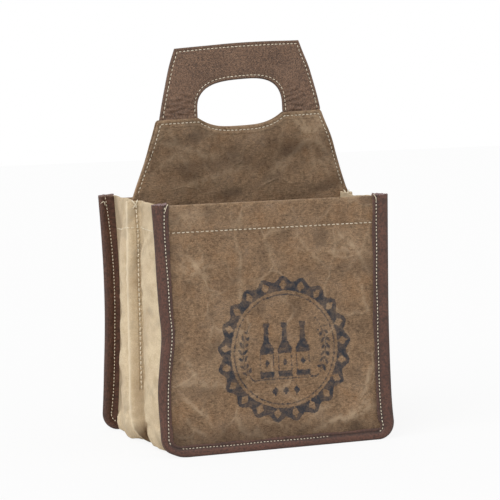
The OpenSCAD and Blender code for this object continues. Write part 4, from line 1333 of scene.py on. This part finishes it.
# %% [markdown]
# The hem of the gusset is sewn across its lobes, and the tuck is sewn shut through the
# divider with a thicker thread. A straight row would cut through the lobes. So the points
# of the hem's seam are read from the gusset's own surface, and their outward directions
# from a second surface, one millimetre further out.
# %% Stitches of the gusset
def gusset_hem_stitches(name, right):
    """Seam of the gusset's hem, across the lobes and the tuck: 23.65 mm below the rim in
    front, and up to 6.5 mm lower at the back."""
    where = HEM_H - HEM_INSET + np.arange(0, 7, 0.5)
    if right:
        where = station_at[-1] - where
    on, above = (gusset_grid(where, 0 * where, 0.4, GUSSET_T / 2 + t)[0] for t in (0, 1))
    low = ((len(where) - 1) * fade(on[:, 0, 1], -5, 55)).astype(int)
    row = np.arange(len(on))
    on, above = on[row, low], above[row, low]
    far = length_along(on)
    keep = (far > 15.5) & (far < far[-1] - 15.5)
    return stitches(name, [(on[keep], (above - on)[keep])], HEM_PITCH, 5 + right)


def tuck_stitches(name, right):
    """Seam that holds the divider in the tuck, 5 to 6 mm out from the side wall, with two
    long stitches over its top."""
    z = steps(TUCK_END, 1, RIM_H - 3)
    where = station_at[-1] - (RIM_H - z) if right else RIM_H - z
    half, out = TUCK_HALF + 0.6 + GUSSET_T / 2, 1 if right else -1
    x = out * (WALL_X + 4.9 + 1.3 * fade(z, 185, 210))
    runs = [level_run(slump(points_of(x, sway(where) + side * half, z)), [0, side, 0])
            for side in (-1, 1)]
    for foot, head in ((5, 10), (9, 4)):
        tail = np.array([[WALL_X + foot, -half, 210],
                         [WALL_X + (foot + head) / 2, -half - 0.4, 214],
                         [WALL_X + head, 0.4 - half, 218]]) * [out, 1, 1]
        runs.append(level_run(slump(refit(tail, 9)), [0, -1, 0.2], True))
    return stitches(name, runs, pitch=4.35, seed=7 + right, width=1.25)


left_hem_seam = gusset_hem_stitches("left_gusset_hem_stitches", False)
right_hem_seam = gusset_hem_stitches("right_gusset_hem_stitches", True)
left_tuck_seam = tuck_stitches("left_tuck_stitches", False)
right_tuck_seam = tuck_stitches("right_tuck_stitches", True)

# %% [markdown]
# Three seams hold the handle: one along its outer edge, one round the hand hole, and one
# along the canvas edge. They could be drawn as curves of their own, but each runs at an
# even distance from an edge that is known. So each is that edge, moved in by its inset,
# and is sewn on the front and on the back.
# %% Stitches of the handle
def on_arch(x, z, side):
    """How far back the face of one leather arch lies."""
    return arch_wave(x, z) + side * (GRIP_T - 0.4)


def on_canvas(x, z, side):
    """How far back the face of one canvas layer lies."""
    parted, wave = canvas_place(x, z)[:2]
    return side * (parted + DIVIDER_T / 2 + 0.1) + wave


def handle_stitches(name, line, face, pitch, seed, width):
    """A seam along a line of x and z on both faces of the handle."""
    x, z = line.T
    runs = [level_run(askew(points_of(x, face(x, z, side), z)), [0, side, 0])
            for side in (-1, 1)]
    return stitches(name, runs, pitch, seed, fill=0.78, width=width)


edge_line = refit(np.concatenate(outer_edge(EDGE_SEAM, SHOULDER_Z + 1)), 400)
hole_line = refit(np.concatenate(hole_edge(HOLE_SEAM, SHOULDER_Z - 3)), 300)
height = steps(222.5, 1, SHOULDER_Z - 4)
slant = points_of(canvas_half(height) - CANVAS_SEAM, height)
level_x = steps(slant[-1, 0], 1, -slant[-1, 0])
dip = points_of(level_x, canvas_top(level_x) - CANVAS_SEAM)
canvas_line = refit(np.concatenate([slant, dip[1:-1], slant[::-1] * [-1, 1]]), 500)
edge_seam = handle_stitches("handle_edge_stitches", edge_line, on_arch, 3.8, 21, 0.74)
hole_seam = handle_stitches("hand_hole_stitches", hole_line, on_arch, 3.8, 22, 0.74)
canvas_seam = handle_stitches("canvas_edge_stitches", canvas_line, on_canvas, 3.75, 23, 0.7)

# %% [markdown]
# ## Bodies, and what stands for what
# The real bag stands still and its handle folds down about the rim. Here the pieces of
# the bag hang from one empty and those of the handle from another. The two canvas layers
# belong to both. They could be cut in two at the rim, but a gap would open there, so they
# are left whole and hang from neither. Each piece takes the place of the solids of the
# CAD model that stand for it, which are hidden.
# %% Bodies and replaced solids
BAG = {
    front_panel: ("waxed_canvas", ["front_panel"]),
    back_panel: ("waxed_canvas", ["back_panel"]),
    gusset: ("gusset_canvas", ["gusset_left", "gusset_right", "gusset_base"]),
    front_binding: ("binding_leather", ["front_binding"]),
    back_binding: ("binding_leather", ["back_binding"]),
    front_binding_seam: ("thread", ["front_binding_thread"]),
    back_binding_seam: ("thread", ["back_binding_thread"]),
    front_hem_seam: ("thread", ["front_hem_thread"]),
    back_hem_seam: ("thread", ["back_hem_thread"]),
    left_hem_seam: ("thread", ["left_gusset_hem_thread"]),
    right_hem_seam: ("thread", ["right_gusset_hem_thread"]),
    left_tuck_seam: ("thread", ["left_tuck_thread"]),
    right_tuck_seam: ("thread", ["right_tuck_thread"])}
HANDLE = {
    leather_front: ("grip_leather", ["handle_leather_front"]),
    leather_back: ("grip_leather", ["handle_leather_back"]),
    edge_seam: ("thread", ["handle_edge_thread"]),
    hole_seam: ("thread", ["hand_hole_thread"])}
BOTH = {
    canvas_front: ("waxed_canvas", ["divider_front_layer", "handle_canvas_front"]),
    canvas_back: ("waxed_canvas", ["divider_back_layer", "handle_canvas_back",
                                   "divider_fold"]),
    canvas_seam: ("thread", ["canvas_edge_thread"])}
for pieces in (BAG, HANDLE, BOTH):
    for piece, (finish, nodes) in pieces.items():
        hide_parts(*nodes)
for piece in BAG:
    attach(piece, "bag")
for piece in HANDLE:
    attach(piece, "handle")
for piece in BOTH:
    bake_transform(piece)
print(len(BAG), "pieces in the bag,", len(HANDLE), "in the handle,", len(BOTH), "in both")

# %% [markdown]
# Each cloth piece was bent with almost no stretch, so its area must still be about that
# of its flat cut. The flat sizes are the lengths that were followed along the cloth's
# middle, and are printed here. They could be read from the finished mesh instead.
# %% Flat cuts of the cloth
layer_cut = (2 * TUCKED_HALF, SHOULDER_Z - DIVIDER_Z)
[MM * v for v in front_cut]
[MM * v for v in back_cut]
for label, cut in (("panel", front_cut), ("gusset", gusset_cut), ("divider", layer_cut)):
    print(label, "cut", np.round(cut, 1), "mm")
print("binding strips", np.round([front_strip, back_strip], 1), "mm")

# %% [markdown]
# ## Floor and light
# The bag stands on white paper, which the camera sees as nearly plain white. A brighter
# lamp could do that, but it would wash out the bag. So the white comes from the paper's
# own material, for what the camera sees alone. It adds no light to the bag, and it leaves
# the bag's shadow on the paper.
# %% Floor
bpy.ops.mesh.primitive_plane_add(size=8)
floor = bpy.context.object
floor.name = "studio_floor"
white = bpy.data.materials.new("white_paper")
white.use_nodes = True
add, paper = adder(white.node_tree), white.node_tree.nodes["Principled BSDF"]
feed(paper, {"Base Color": (0.8, 0.8, 0.8, 1), "Roughness": 0.9, "Specular IOR Level": 0.1})
seen = add("LightPath").node.outputs["Is Camera Ray"]
share = add("Math", {0: seen, 1: 0.88}, operation="MULTIPLY")
glow = add("Emission", {"Color": (1, 1, 1, 1), "Strength": 1.0})
both = add("MixShader", {0: share, 1: paper.outputs[0], 2: glow})
feed(white.node_tree.nodes["Material Output"], {"Surface": both})
floor.data.materials.append(white)
print("floor", floor.name, "of", white.name)

# %% [markdown]
# The light is that of a studio, soft and even: a pale sky all round, a very large lamp
# high at the left, and a weak one at the right. Area lamps could stand close by, but a sun
# with a wide angle is as soft and lights both ends of the bag alike. The sky is plain
# white to the camera and in reflections, and about half as bright as a light.
# %% Light
world = bpy.context.scene.world or bpy.data.worlds.new("studio")
bpy.context.scene.world = world
world.use_nodes = True
add = adder(world.node_tree)
path = add("LightPath").node.outputs
seen = add("Math", {0: path["Is Camera Ray"], 1: path["Is Glossy Ray"]}, operation="MAXIMUM")
strength = add("MapRange", {"Value": seen, "To Min": 0.55, "To Max": 1.0})
sky = next(n for n in world.node_tree.nodes if n.type == "BACKGROUND")
feed(sky, {"Color": (1, 1, 1, 1), "Strength": strength})


def soft_sun(name, azimuth, height, energy, spread):
    """A lamp so large that its edge is soft, from azimuth degrees left of the front and
    height degrees up."""
    sun = bpy.data.lights.new(name, "SUN")
    sun.energy, sun.angle = energy, math.radians(spread)
    lamp = bpy.data.objects.new(name, sun)
    lamp.rotation_euler = (math.radians(90 - height), 0, math.radians(-azimuth))
    bpy.context.scene.collection.objects.link(lamp)


soft_sun("key_softbox", azimuth=53, height=43, energy=1.93, spread=50)
soft_sun("fill_softbox", azimuth=-50, height=35, energy=0.26, spread=70)
